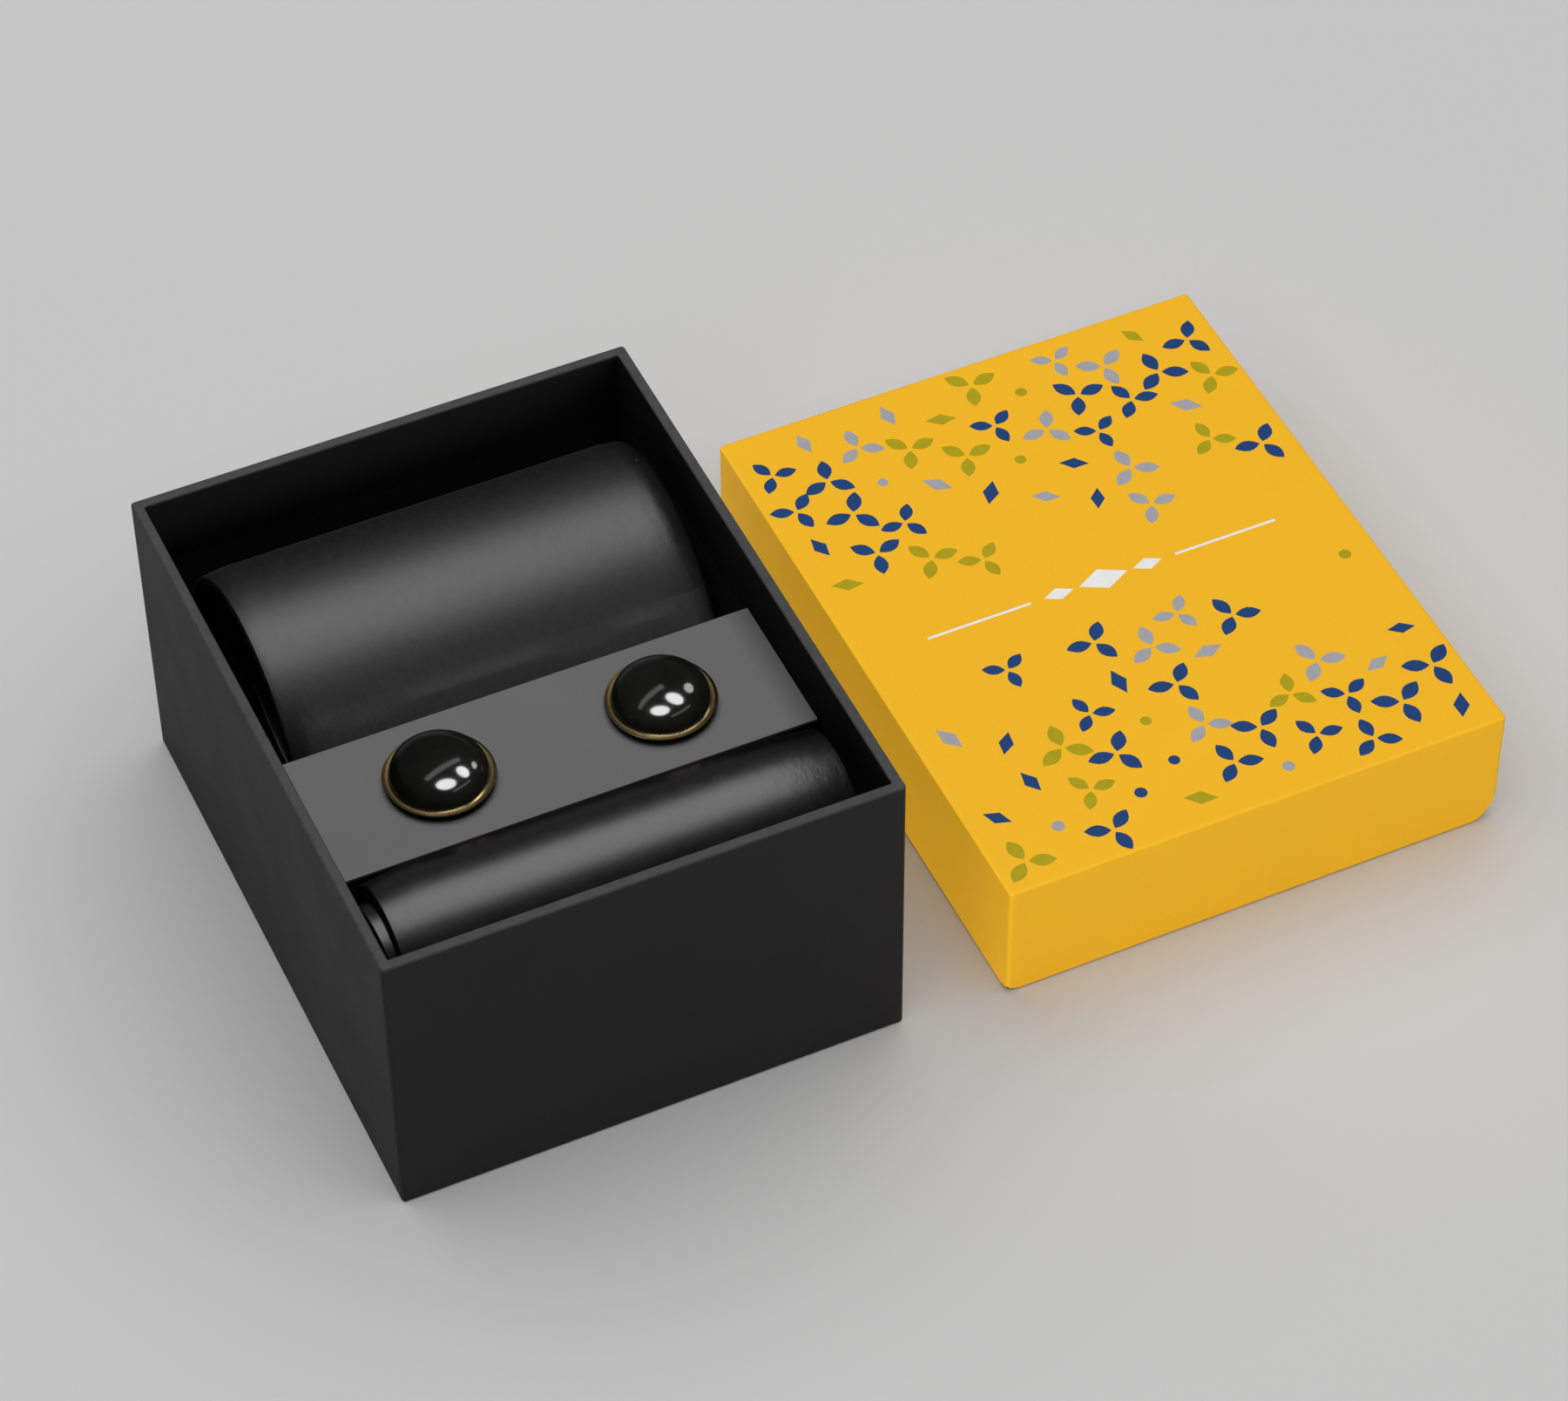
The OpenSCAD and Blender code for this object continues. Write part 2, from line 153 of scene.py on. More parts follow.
class RollSettings(bpy.types.PropertyGroup):
    """The rolled necktie and the rolled pocket square"""

    blade: length_setting("Blade width", "Width of the tie's blade", 0.082, 0.06, 0.09)
    neck: length_setting("Neck width", "Width of the tie at its narrow middle", 0.040, 0.03, 0.05)
    tail: length_setting("Tail width", "Width of the tie's tail", 0.046, 0.03, 0.06)
    silk: colour_setting("Silk", "Colour of the tie's black satin", (0.0026, 0.0026, 0.0026))
    cotton: colour_setting(
        "Cotton", "Colour of the pocket square's black sateen", (0.0032, 0.0026, 0.0031))


class StageSettings(bpy.types.PropertyGroup):
    """The floor, the lamps and the camera"""

    floor: colour_setting("Floor", "Colour of the floor", (0.66, 0.66, 0.66))
    overhead: power_setting(
        "Overhead softbox", "Power of the softbox above and behind the box", 13.6)
    wash: power_setting(
        "Floor wash", "Power of the wide lamp that only the floor catches", 96.0)
    fill: power_setting("Front fill", "Power of the lamp at the front", 5.8)
    left_fill: power_setting("Left fill", "Power of the lamp at the front left", 1.3)
    lid_fill: power_setting("Lid side fill", "Power of the lamp that only the lid catches", 11.0)
    sparkle: FloatProperty(
        name="Sparkle", description="Radiance of the small lamps that only the stones catch",
        default=22.0, min=0)


# ---- node helpers ----


def put(tree, socket, value):
    """Links value to socket if it is an output, and otherwise sets it."""
    if isinstance(value, bpy.types.NodeSocket):
        tree.links.new(value, socket)
    else:
        socket.default_value = value


def maths(tree, operation, *values, clamp=False):
    node = tree.nodes.new("ShaderNodeMath")
    node.operation = operation
    node.use_clamp = clamp
    for socket, value in zip(node.inputs, values):
        put(tree, socket, value)
    return node.outputs[0]


def span(tree, value, low, high, to_low=0.0, to_high=1.0):
    """Smooth step from low to high, given as to_low and to_high."""
    node = tree.nodes.new("ShaderNodeMapRange")
    node.interpolation_type = "SMOOTHSTEP"
    for name, v in (("Value", value), ("From Min", low), ("From Max", high),
                    ("To Min", to_low), ("To Max", to_high)):
        put(tree, node.inputs[name], v)
    return node.outputs["Result"]


def mixed(tree, factor, a, b):
    """Colour a where factor is 0 and colour b where it is 1."""
    node = tree.nodes.new("ShaderNodeMix")
    node.data_type = "RGBA"
    put(tree, node.inputs[0], factor)
    for socket, value in ((node.inputs[6], a), (node.inputs[7], b)):
        if not isinstance(value, bpy.types.NodeSocket):
            value = (*value[:3], 1.0)
        put(tree, socket, value)
    return node.outputs[2]


def noise(tree, vector, scale, detail=4.0, roughness=0.55):
    node = tree.nodes.new("ShaderNodeTexNoise")
    put(tree, node.inputs["Vector"], vector)
    put(tree, node.inputs["Scale"], scale)
    node.inputs["Detail"].default_value = detail
    node.inputs["Roughness"].default_value = roughness
    return node.outputs["Fac"]


def object_place(tree):
    return tree.nodes.new("ShaderNodeTexCoord").outputs["Object"]


def axes_of(tree, vector):
    node = tree.nodes.new("ShaderNodeSeparateXYZ")
    put(tree, node.inputs[0], vector)
    return node.outputs


def new_group(name, inputs, outputs):
    """A shader node group with its input and output nodes."""
    group = bpy.data.node_groups.new(name, "ShaderNodeTree")
    for label, value in inputs:
        socket = group.interface.new_socket(label, in_out="INPUT", socket_type="NodeSocketFloat")
        socket.default_value = value
    for label in outputs:
        group.interface.new_socket(label, in_out="OUTPUT", socket_type="NodeSocketFloat")
    return group, group.nodes.new("NodeGroupInput").outputs, group.nodes.new("NodeGroupOutput").inputs


def use_group(tree, name, **values):
    """Places a shared group in a material; values are its inputs, with _ for spaces."""
    node = tree.nodes.new("ShaderNodeGroup")
    node.node_tree = SHARED[name]() if name not in bpy.data.node_groups else bpy.data.node_groups[name]
    for label, value in values.items():
        put(tree, node.inputs[label.replace("_", " ")], value)
    return node.outputs


def paper_grain():
    """Fine fibres and soft blotches of a covering paper."""
    group, given, out = new_group(
        "Paper Grain", [("Fibre Scale", 2200.0), ("Blotch Scale", 60.0)], ["Height", "Tone"])
    place = object_place(group)
    fibres = noise(group, place, given["Fibre Scale"], detail=5.0, roughness=0.6)
    blotches = noise(group, place, given["Blotch Scale"], detail=3.0)
    put(group, out["Height"], fibres)
    tone = maths(group, "MULTIPLY_ADD", blotches, 0.65, maths(group, "MULTIPLY", fibres, 0.35))
    put(group, out["Tone"], tone)
    return group


def top_band():
    """A band along an upward edge: 1 at the level of the edge, 0 below its reach. On the tray's rim it
    carries rubbed paper and a painted highlight; on the bar it keeps the grey on top of legs in painted
    shade.
    """
    group, given, out = new_group(
        "Top Band", [("Level", 0.0625), ("Reach", 0.0008), ("Evenness", 0.75)], ["Mask"])
    place = object_place(group)
    start = maths(group, "SUBTRACT", given["Level"], given["Reach"])
    height = span(group, axes_of(group, place)["Z"], start, given["Level"])
    patches = noise(group, place, 420.0, detail=5.0, roughness=0.7)
    rubbed = span(group, patches, 0.3, 0.62, given["Evenness"], 1.0)
    put(group, out["Mask"], maths(group, "MULTIPLY", height, rubbed, clamp=True))
    return group


def cloth_weave():
    """Threads along and across a cloth, and its uneven sheen, on its own UV map in metres."""
    group, given, out = new_group(
        "Cloth Weave", [("Across", 2600.0), ("Along", 2600.0), ("Float", 4.0)], ["Height", "Tone"])
    uv = group.nodes.new("ShaderNodeUVMap")
    uv.uv_map = "Cloth"
    axes = axes_of(group, uv.outputs[0])
    across = maths(group, "MULTIPLY", axes["X"], given["Across"])
    along = maths(group, "MULTIPLY", axes["Y"], given["Along"])
    # Each thread passes over several others, one step further on than its neighbour
    step = maths(group, "MULTIPLY", maths(group, "FLOOR", across), 0.4)
    floats = maths(group, "DIVIDE", maths(group, "ADD", along, step), given["Float"])
    ridge = maths(group, "SINE", maths(group, "MULTIPLY", across, 2 * math.pi))
    wave = maths(group, "SINE", maths(group, "MULTIPLY", floats, math.pi))
    dips = maths(group, "POWER", maths(group, "ABSOLUTE", wave), 0.35)
    height = maths(group, "MULTIPLY", maths(group, "MULTIPLY_ADD", ridge, 0.35, 0.65), dips)
    put(group, out["Height"], height)
    # The unevenness has a far larger scale than the threads
    stretched = group.nodes.new("ShaderNodeCombineXYZ")
    put(group, stretched.inputs[0], maths(group, "MULTIPLY", across, 0.22))
    put(group, stretched.inputs[1], maths(group, "MULTIPLY", along, 0.13))
    put(group, out["Tone"], noise(group, stretched.outputs[0], 1.0, roughness=0.65))
    return group


def dust_specks():
    """A few pale specks of dust and lint."""
    group, given, out = new_group(
        "Dust Specks", [("Scale", 260.0), ("Amount", 0.05), ("Size", 0.045)], ["Mask"])
    cells = group.nodes.new("ShaderNodeTexVoronoi")
    put(group, cells.inputs["Vector"], object_place(group))
    put(group, cells.inputs["Scale"], given["Scale"])
    random = axes_of(group, cells.outputs["Color"])
    chosen = maths(group, "LESS_THAN", random["X"], given["Amount"])
    radius = maths(group, "MULTIPLY", given["Size"], maths(group, "ADD", random["Y"], 0.6))
    spot = span(group, cells.outputs["Distance"], radius, 0.0)
    put(group, out["Mask"], maths(group, "MULTIPLY", spot, chosen))
    return group


SHARED = {"Paper Grain": paper_grain, "Top Band": top_band, "Cloth Weave": cloth_weave,
          "Dust Specks": dust_specks}


# ---- materials ----

# Colours of what hardly shows, of dust, and of painted shade
LINING = (0.012, 0.0115, 0.012)
# painted shade: the bar's legs, nearly black where shade falls
BAR_LEGS_PAINTED_SHADE = (0.010, 0.0098, 0.0100)
GREYBOARD = (0.36, 0.32, 0.26)
STAY_TAPE = (0.74, 0.66, 0.50)
GREY_CARD = (0.26, 0.255, 0.245)
DARK_PLATING = (0.060, 0.055, 0.052)
STEEL = (0.42, 0.43, 0.45)
WHITE_INK = (0.86, 0.86, 0.85)
DUST_ON_PAPER = (0.5, 0.5, 0.5)
DUST_ON_CLOTH = (0.16, 0.16, 0.16)
DUST_ON_STONE = (0.25, 0.24, 0.23)
SEEN_IN_SHINE = (0.004, 0.004, 0.004)  # the bar's paper, as other pieces reflect it


def new_material(name, **sockets):
    """A node material with a Principled shader; sockets are its plain values, with _ for spaces."""
    material = bpy.data.materials.new(name)
    material.use_nodes = True
    tree = material.node_tree
    tree.nodes.clear()
    shader = tree.nodes.new("ShaderNodeBsdfPrincipled")
    out = tree.nodes.new("ShaderNodeOutputMaterial")
    tree.links.new(shader.outputs["BSDF"], out.inputs["Surface"])
    for label, value in sockets.items():
        shader.inputs[label.replace("_", " ")].default_value = value
    return material, tree, shader.inputs


def bump(tree, height, distance, strength):
    node = tree.nodes.new("ShaderNodeBump")
    node.inputs["Strength"].default_value = strength
    node.inputs["Distance"].default_value = distance
    put(tree, node.inputs["Height"], height)
    return node.outputs["Normal"]


def toned(tree, colour, tone, swing):
    """colour made darker and lighter by a tone around a half."""
    dark = [max(0.0, c * (1 - swing)) for c in colour]
    light = [min(1.0, c * (1 + swing)) for c in colour]
    return mixed(tree, span(tree, tone, 0.25, 0.75), dark, light)


def rough_around(tree, shader, tone, roughness, swing):
    """Roughness that swings to both sides with a tone."""
    put(tree, shader["Roughness"], span(tree, tone, 0.2, 0.8, roughness - swing, roughness + swing))


def paper_material(name, colour, roughness, swing, fibre=2200.0, specular=0.35, dust=0.0,
                   edge=None, dim_in_shine=False):
    """Paper or board. edge holds a colour and the Top Band group's values for a band along the top. There,
    the tray's rim is painted lighter, partly rubbed paper and partly a painted highlight, and the bar keeps
    its own grey above legs in painted shade.
    """
    material, tree, shader = new_material(name, Specular_IOR_Level=specular)
    grain = use_group(tree, "Paper Grain", Fibre_Scale=fibre)
    shown = toned(tree, colour, grain["Tone"], swing)
    if edge:
        # rubbed is the colour inside the band: on the rim, rubbed paper with a painted highlight; on the
        # bar, its own grey over legs in painted shade
        rubbed, values = edge
        top_band_mask = use_group(tree, "Top Band", **values)
        shown = mixed(tree, top_band_mask["Mask"], shown, toned(tree, rubbed, grain["Tone"], swing))
    if dust:
        specks = use_group(tree, "Dust Specks", Amount=dust)
        shown = mixed(tree, maths(tree, "MULTIPLY", specks["Mask"], 0.6), shown, DUST_ON_PAPER)
    if dim_in_shine:
        ray = tree.nodes.new("ShaderNodeLightPath")
        shown = mixed(tree, ray.outputs["Is Glossy Ray"], shown, SEEN_IN_SHINE)
    put(tree, shader["Base Color"], shown)
    rough_around(tree, shader, grain["Tone"], roughness, 0.05)
    put(tree, shader["Normal"], bump(tree, grain["Height"], distance=0.00003, strength=0.6))
    return material


def cloth_material(name, colour, roughness, across, along, floats, painted_shade_behind=None):
    """Lustrous black cloth. painted_shade_behind holds two places along Y: shiny before them, and painted
    shade behind them, where the shine is taken away.
    """
    material, tree, shader = new_material(
        name, Specular_IOR_Level=0.55, Anisotropic=0.8, Anisotropic_Rotation=0.25)
    weave = use_group(tree, "Cloth Weave", Across=across, Along=along, Float=floats)
    specks = use_group(tree, "Dust Specks", Scale=300.0, Amount=0.035, Size=0.05)
    shown = toned(tree, colour, weave["Tone"], 0.25)
    put(tree, shader["Base Color"], mixed(tree, specks["Mask"], shown, DUST_ON_CLOTH))
    rough_around(tree, shader, weave["Tone"], roughness, 0.018)
    uneven = maths(tree, "MULTIPLY_ADD", weave["Tone"], 8.0, weave["Height"])
    put(tree, shader["Normal"], bump(tree, uneven, distance=0.00004, strength=0.12))
    if painted_shade_behind:
        # Painted shade: the cloth's shine is taken away where the roll turns down towards the bar
        back = span(tree, axes_of(tree, object_place(tree))["Y"], *painted_shade_behind)
        put(tree, shader["Specular Tint"], mixed(tree, back, (1.0, 1.0, 1.0), (0.0, 0.0, 0.0)))
    tangent = tree.nodes.new("ShaderNodeTangent")
    tangent.direction_type = "UV_MAP"
    tangent.uv_map = "Cloth"
    put(tree, shader["Tangent"], tangent.outputs[0])
    return material


def metal_material(name, colour, roughness):
    material, tree, shader = new_material(name, Metallic=1.0)
    grain = use_group(tree, "Paper Grain", Fibre_Scale=900.0, Blotch_Scale=260.0)
    put(tree, shader["Base Color"], toned(tree, colour, grain["Tone"], 0.06))
    rough_around(tree, shader, grain["Tone"], roughness, 0.08 * roughness)
    put(tree, shader["Normal"], bump(tree, grain["Height"], distance=0.00001, strength=0.08))
    return material


def stone_material(name, colour):
    material, tree, shader = new_material(name, IOR=1.4)
    grain = use_group(tree, "Paper Grain", Fibre_Scale=500.0, Blotch_Scale=140.0)
    specks = use_group(tree, "Dust Specks", Scale=420.0, Amount=0.06, Size=0.05)
    shown = toned(tree, colour, grain["Tone"], 0.3)
    put(tree, shader["Base Color"], mixed(tree, specks["Mask"], shown, DUST_ON_STONE))
    rough_around(tree, shader, grain["Tone"], 0.12, 0.02)
    return material


def ink_material(name, colour):
    material, tree, shader = new_material(name, Specular_IOR_Level=0.12)
    grain = use_group(tree, "Paper Grain", Fibre_Scale=2600.0, Blotch_Scale=300.0)
    put(tree, shader["Base Color"], toned(tree, colour, grain["Tone"], 0.07))
    rough_around(tree, shader, grain["Tone"], 0.55, 0.05)
    put(tree, shader["Normal"], bump(tree, grain["Height"], distance=0.00002, strength=0.4))
    return material


def make_finish(name):
    scene = bpy.context.scene
    papers, links, rolls = scene.box_papers, scene.box_cufflinks, scene.box_rolls
    if name == "Black paper":
        # The tray's rim is painted lighter at its top, partly rubbed paper and partly a painted highlight
        rim = (papers.rim_wear_and_highlight, {"Level": TRAY_HIGH[2] * MM, "Reach": 0.0007})
        paper_material(name, papers.tray_colour, 0.62, 0.06, specular=0.22, dust=0.02, edge=rim)
    elif name == "Black lining":
        paper_material(name, LINING, 0.75, 0.08)
    elif name == "Yellow paper":
        paper_material(name, papers.lid_colour, 0.6, 0.02, specular=0.12)
    elif name == "Grey paper":
        # Painted shade: the bar's legs stand in the dark, so they are painted nearly black and only its top
        # has the paper's own grey
        top = (papers.bar_colour, {"Level": BAR_HIGH[2] * MM, "Reach": 0.00002, "Evenness": 1.0})
        paper_material(name, BAR_LEGS_PAINTED_SHADE, 0.7, 0.03, specular=0.15, dust=0.02, edge=top,
                       dim_in_shine=True)
    elif name == "Greyboard":
        paper_material(name, GREYBOARD, 0.9, 0.18, fibre=900.0, specular=0.2)
    elif name == "Stay tape":
        paper_material(name, STAY_TAPE, 0.8, 0.06, specular=0.25)
    elif name == "Grey card":
        paper_material(name, GREY_CARD, 0.85, 0.08, fibre=1300.0, specular=0.25)
    elif name == "Tie silk":
        cloth_material(name, rolls.silk, 0.325, across=3300.0, along=2400.0, floats=5.0)
    # The square's roll gets painted shade on its back, towards the bar
    elif name == "Square cotton":
        cloth_material(name, rolls.cotton, 0.25, across=2600.0, along=2200.0, floats=3.0,
                       painted_shade_behind=(-0.0395, -0.0365))
    elif name == "Gold":
        metal_material(name, links.gold, 0.27)
    elif name == "Dark plating":
        metal_material(name, DARK_PLATING, 0.34)
    elif name == "Steel":
        metal_material(name, STEEL, 0.28)
    elif name == "Polished stone":
        stone_material(name, links.stone)
    else:
        raise ValueError(f"no finish is named {name}")


def finish(name):
    """The material of that name, made the first time that it is asked for."""
    if name not in bpy.data.materials:
        make_finish(name)
    return bpy.data.materials[name]


def paint_node(node, name):
    """Gives a CAD node that stays its procedural material."""
    piece = frame["nodes"][node]
    if not piece.material_slots:
        piece.data.materials.append(None)
    for slot in piece.material_slots:
        slot.material = finish(name)


# ---- mesh helpers, in millimetres ----


def make_piece(name, points, faces, material, uvs=None, sharp=40.0):
    """A closed mesh piece from points in millimetres. uvs holds one (u, v) for each face corner."""
    mesh = bpy.data.meshes.new(name)
    mesh.from_pydata([[MM * c for c in p] for p in points], [], faces)
    if uvs is not None:
        layer = mesh.uv_layers.new(name="Cloth")
        layer.data.foreach_set("uv", [c for uv in uvs for c in uv])
    shape = bmesh.new()
    shape.from_mesh(mesh)
    bmesh.ops.recalc_face_normals(shape, faces=shape.faces)
    shape.to_mesh(mesh)
    shape.free()
    mesh.validate()
    mesh.polygons.foreach_set("use_smooth", [True] * len(mesh.polygons))
    mesh.set_sharp_from_angle(angle=math.radians(sharp))
    piece = bpy.data.objects.new(name, mesh)
    bpy.context.scene.collection.objects.link(piece)
    mesh.materials.append(material)
    return piece


def stand_in(piece, body, nodes):
    """The piece rides on a body and stands for CAD nodes."""
    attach(piece, body)
    if nodes:
        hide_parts(*nodes)


def soften(path, radii, steps=5, guard=0.25):
    """Rounds an open path's corners. A guard point beside each rounding keeps the flats flat."""
    out = []
    for i, corner in enumerate(path):
        here, radius = Vector(corner), radii[i]
        if radius == 0 or i in (0, len(path) - 1):
            out.append(tuple(here))
            continue
        back = (Vector(path[i - 1]) - here).normalized()
        ahead = (Vector(path[i + 1]) - here).normalized()
        half = math.acos(max(-1.0, min(1.0, back.dot(ahead)))) / 2
        cut = radius / math.tan(half)
        centre = here + (back + ahead).normalized() * radius / math.sin(half)
        arm = here + back * cut - centre
        turn = math.pi - 2 * half
        if arm.x * back.y - arm.y * back.x > 0:
            turn = -turn
        if guard:
            out.append(tuple(here + back * (cut + guard)))
        for k in range(steps + 1):
            a = turn * k / steps
            out.append((centre.x + arm.x * math.cos(a) - arm.y * math.sin(a),
                        centre.y + arm.x * math.sin(a) + arm.y * math.cos(a)))
        if guard:
            out.append(tuple(here + ahead * (cut + guard)))
    return out


def box_ring(half_x, half_y, radius, reach, columns):
    """Plan of a rounded rectangle, with columns beside each corner out to reach."""
    points, steps = [], 6
    for sx, sy, ax, ay in ((1, -1, -1, 0), (1, 1, 0, -1), (-1, 1, 1, 0), (-1, -1, 0, 1)):
        corner, a = Vector((sx * half_x, sy * half_y)), Vector((ax, ay))
        b = Vector((ay, -ax))
        away = [radius + (reach - radius) * t for t in columns]
        points += [corner + a * u for u in reversed(away)]
        centre = corner + (a + b) * radius
        for k in range(steps + 1):
            angle = math.pi / 2 * k / steps
            points.append(centre - b * radius * math.cos(angle) - a * radius * math.sin(angle))
        points += [corner + b * u for u in away]
    return points


def shell(rings):
    """Points and faces of a closed skin through rings of as many points each."""
    count, last = len(rings[0]), len(rings) - 1
    faces = [(row + k, row + (k + 1) % count, row + count + (k + 1) % count, row + count + k)
             for row in range(0, last * count, count) for k in range(count)]
    faces += [tuple(reversed(range(count))), tuple(range(last * count, (last + 1) * count))]
    return [p for ring in rings for p in ring], faces


def lathe(name, profile, centre, material, around=96, sharp=40.0):
    """A turned piece. The profile of (radius, height) is a ring, or runs from axis to axis."""
    rows, points, faces = [], [], []
    for radius, height in profile:
        start = len(points)
        spokes = 1 if radius < 1e-6 else around
        for k in range(spokes):
            a = 2 * math.pi * k / around
            points.append((centre[0] + radius * math.cos(a), centre[1] + radius * math.sin(a),
                           centre[2] + height))
        rows.append([start + (k if spokes > 1 else 0) for k in range(around)])
    closed = profile[0][0] > 1e-6
    for a, b in zip(rows, rows[1:] + (rows[:1] if closed else [])):
        for k in range(around):
            n = (k + 1) % around
            faces.append(tuple(dict.fromkeys((a[k], a[n], b[n], b[k]))))
    return make_piece(name, points, faces, material, sharp=sharp)


def smooth(t):
    """Smooth step from 0 at 0 to 1 at 1."""
    t = min(1.0, max(0.0, t))
    return t * t * (3 - 2 * t)


# ---- tray ----


def wrap_rings(half_x, half_y, section, lift=None, reach=6.0, columns=(0.25, 1.0)):
    """Rings of a wrapped box wall. section holds (distance in from the outer face, height)."""
    rings = []
    for inset, height in section:
        radius = max(BOX_CORNER - inset, 0.3)
        plan = box_ring(half_x - inset, half_y - inset, radius, reach - inset, columns)
        rings.append([(p.x, p.y, height + (lift(p.x, p.y, height) if lift else 0.0)) for p in plan])
    return rings


def dress_tray(settings):
    half_x, half_y, height = TRAY_HIGH
    wall, guard = 2.0, 3.0  # covered wall, and a ring further in that keeps the underside flat
    fold, low = settings.fold_radius / MM, height - settings.turn_in / MM
    outer = soften([(guard, 0.0), (0.0, 0.0), (0.0, height), (wall, height), (wall, low)],
                   [0, fold, fold, fold, 0])
    inner = [(wall - PAPER, low), (wall - PAPER, height - PAPER), (SKIN, height - PAPER), (SKIN, SKIN)]
    points, faces = shell(wrap_rings(half_x, half_y, outer + inner))
    paper = make_piece("tray_wrap_paper", points, faces, finish("Black paper"))
    stand_in(paper, "tray", ["tray_wrap"])
    for node in ("tray_floor_board", "tray_side_boards", "tray_end_boards"):
        paint_node(node, "Greyboard")
    paint_node("tray_corner_tapes", "Stay tape")
    paint_node("tray_wall_lining", "Black lining")
    paint_node("tray_floor_lining", "Black lining")


# ---- lid ----


def dress_lid(settings):
    centre = (LID_LOW[0] + LID_HIGH[0]) / 2
    half_x, half_y = (LID_HIGH[0] - LID_LOW[0]) / 2, LID_HIGH[1]
    height, wall, guard = LID_HIGH[2], 1.7, 3.0
    fold, high = settings.fold_radius / MM, settings.turn_in / MM
    flat = high - 1  # above this height the skirt's corners are upright
    # The skirt's lower corners are rounded off: width and height, the front right one the most
    front_right, others = (5.0, 9.0), (3.5, 2.0)

    def lift(x, y, z):
        width, rise = front_right if x > 0 > y else others
        near = max(half_x - abs(x), half_y - abs(y))
        if near >= width or z >= flat:
            return 0.0
        cut = rise - rise * math.sqrt(1 - ((width - near) / width) ** 2)
        return cut * (1 - z / flat)

    outer = soften([(guard, height), (0.0, height), (0.0, 0.0), (wall, 0.0), (wall, high)],
                   [0, fold, fold, fold, 0])
    # Rings up the outside, where the rounding off needs them
    for z in (flat, 6.0):
        outer.insert(next(i for i, p in enumerate(outer) if p[0] == 0.0 and p[1] < z), (0.0, z))
    outer.insert(-1, (wall, flat))
    inner = [(wall - PAPER, high), (wall - PAPER, flat), (wall - PAPER, PAPER), (SKIN, PAPER),
             (SKIN, flat), (SKIN, height - SKIN)]
    columns = [0.06, 0.14, 0.24, 0.36, 0.5, 0.66, 0.83, 1.0]
    rings = wrap_rings(half_x, half_y, outer + inner, lift, reach=5.2, columns=columns)
    points, faces = shell([[(x + centre, y, z) for x, y, z in ring] for ring in rings])
    paper = make_piece("lid_wrap_paper", points, faces, finish("Yellow paper"))
    stand_in(paper, "lid", ["lid_wrap"])
    for node in ("lid_top_board", "lid_side_boards", "lid_end_boards"):
        paint_node(node, "Greyboard")
    paint_node("lid_corner_tapes", "Stay tape")
    paint_node("lid_wall_lining", "Black lining")
    paint_node("lid_top_lining", "Black lining")


class Nodes:
    """A small hand for building a geometry tree."""

    def __init__(self, tree):
        self.tree = tree

    def add(self, kind, inputs=(), **settings):
        node = self.tree.nodes.new(kind)
        for key, value in settings.items():
            setattr(node, key, value)
        for key, value in dict(inputs).items():
            put(self.tree, node.inputs[key], value)
        return node

    def maths(self, operation, *values):
        node = self.add("ShaderNodeMath", operation=operation)
        for socket, value in zip(node.inputs, values):
            put(self.tree, socket, value)
        return node.outputs[0]

    def vector(self, x=0.0, y=0.0, z=0.0):
        return self.add("ShaderNodeCombineXYZ", {"X": x, "Y": y, "Z": z}).outputs[0]

    def compare(self, a, operation, b):
        return self.add("FunctionNodeCompare", {0: a, 1: b}, operation=operation).outputs[0]

    def logic(self, a, operation, b):
        return self.add("FunctionNodeBooleanMath", {0: a, 1: b}, operation=operation).outputs[0]

    def between(self, value, low, high):
        """True from low up to, but not at, high."""
        return self.logic(self.compare(value, "GREATER_EQUAL", low), "AND",
                          self.compare(value, "LESS_THAN", high))

    def disc(self, corners):
        """A flat even polygon, 1 m across."""
        return self.add("GeometryNodeMeshCircle", {"Vertices": corners, "Radius": 0.5},
                        fill_type="NGON").outputs[0]

    def random(self, low, high, seed, data_type="FLOAT"):
        node = self.add("FunctionNodeRandomValue", data_type=data_type)
        real = [s for s in node.inputs if s.enabled]
        put(self.tree, real[0], low)
        put(self.tree, real[1], high)
        put(self.tree, next(s for s in real if s.name == "Seed"), seed)
        return next(s for s in node.outputs if s.enabled)

    def plate(self, flat, thickness):
        """A closed thin plate from a flat shape."""
        up = self.add("GeometryNodeExtrudeMesh", {"Mesh": flat, "Offset Scale": thickness}, mode="FACES")
        down = self.add("GeometryNodeFlipFaces", {"Mesh": flat})
        both = self.add("GeometryNodeJoinGeometry")
        self.tree.links.new(up.outputs["Mesh"], both.inputs[0])
        self.tree.links.new(down.outputs[0], both.inputs[0])
        return self.add("GeometryNodeMergeByDistance",
                        {"Geometry": both.outputs[0], "Distance": 0.000001}).outputs[0]

    def moved(self, shape, place=(0, 0, 0), turn=(0, 0, 0), size=(1, 1, 1)):
        return self.add("GeometryNodeTransform", {
            "Geometry": shape, "Translation": place, "Rotation": turn, "Scale": size}).outputs[0]


WANDER = 0.0006  # how far a motif strays from its place in the grid, in metres
DENSITY_AT_BAND = 0.34  # share of the motifs kept beside the bare band


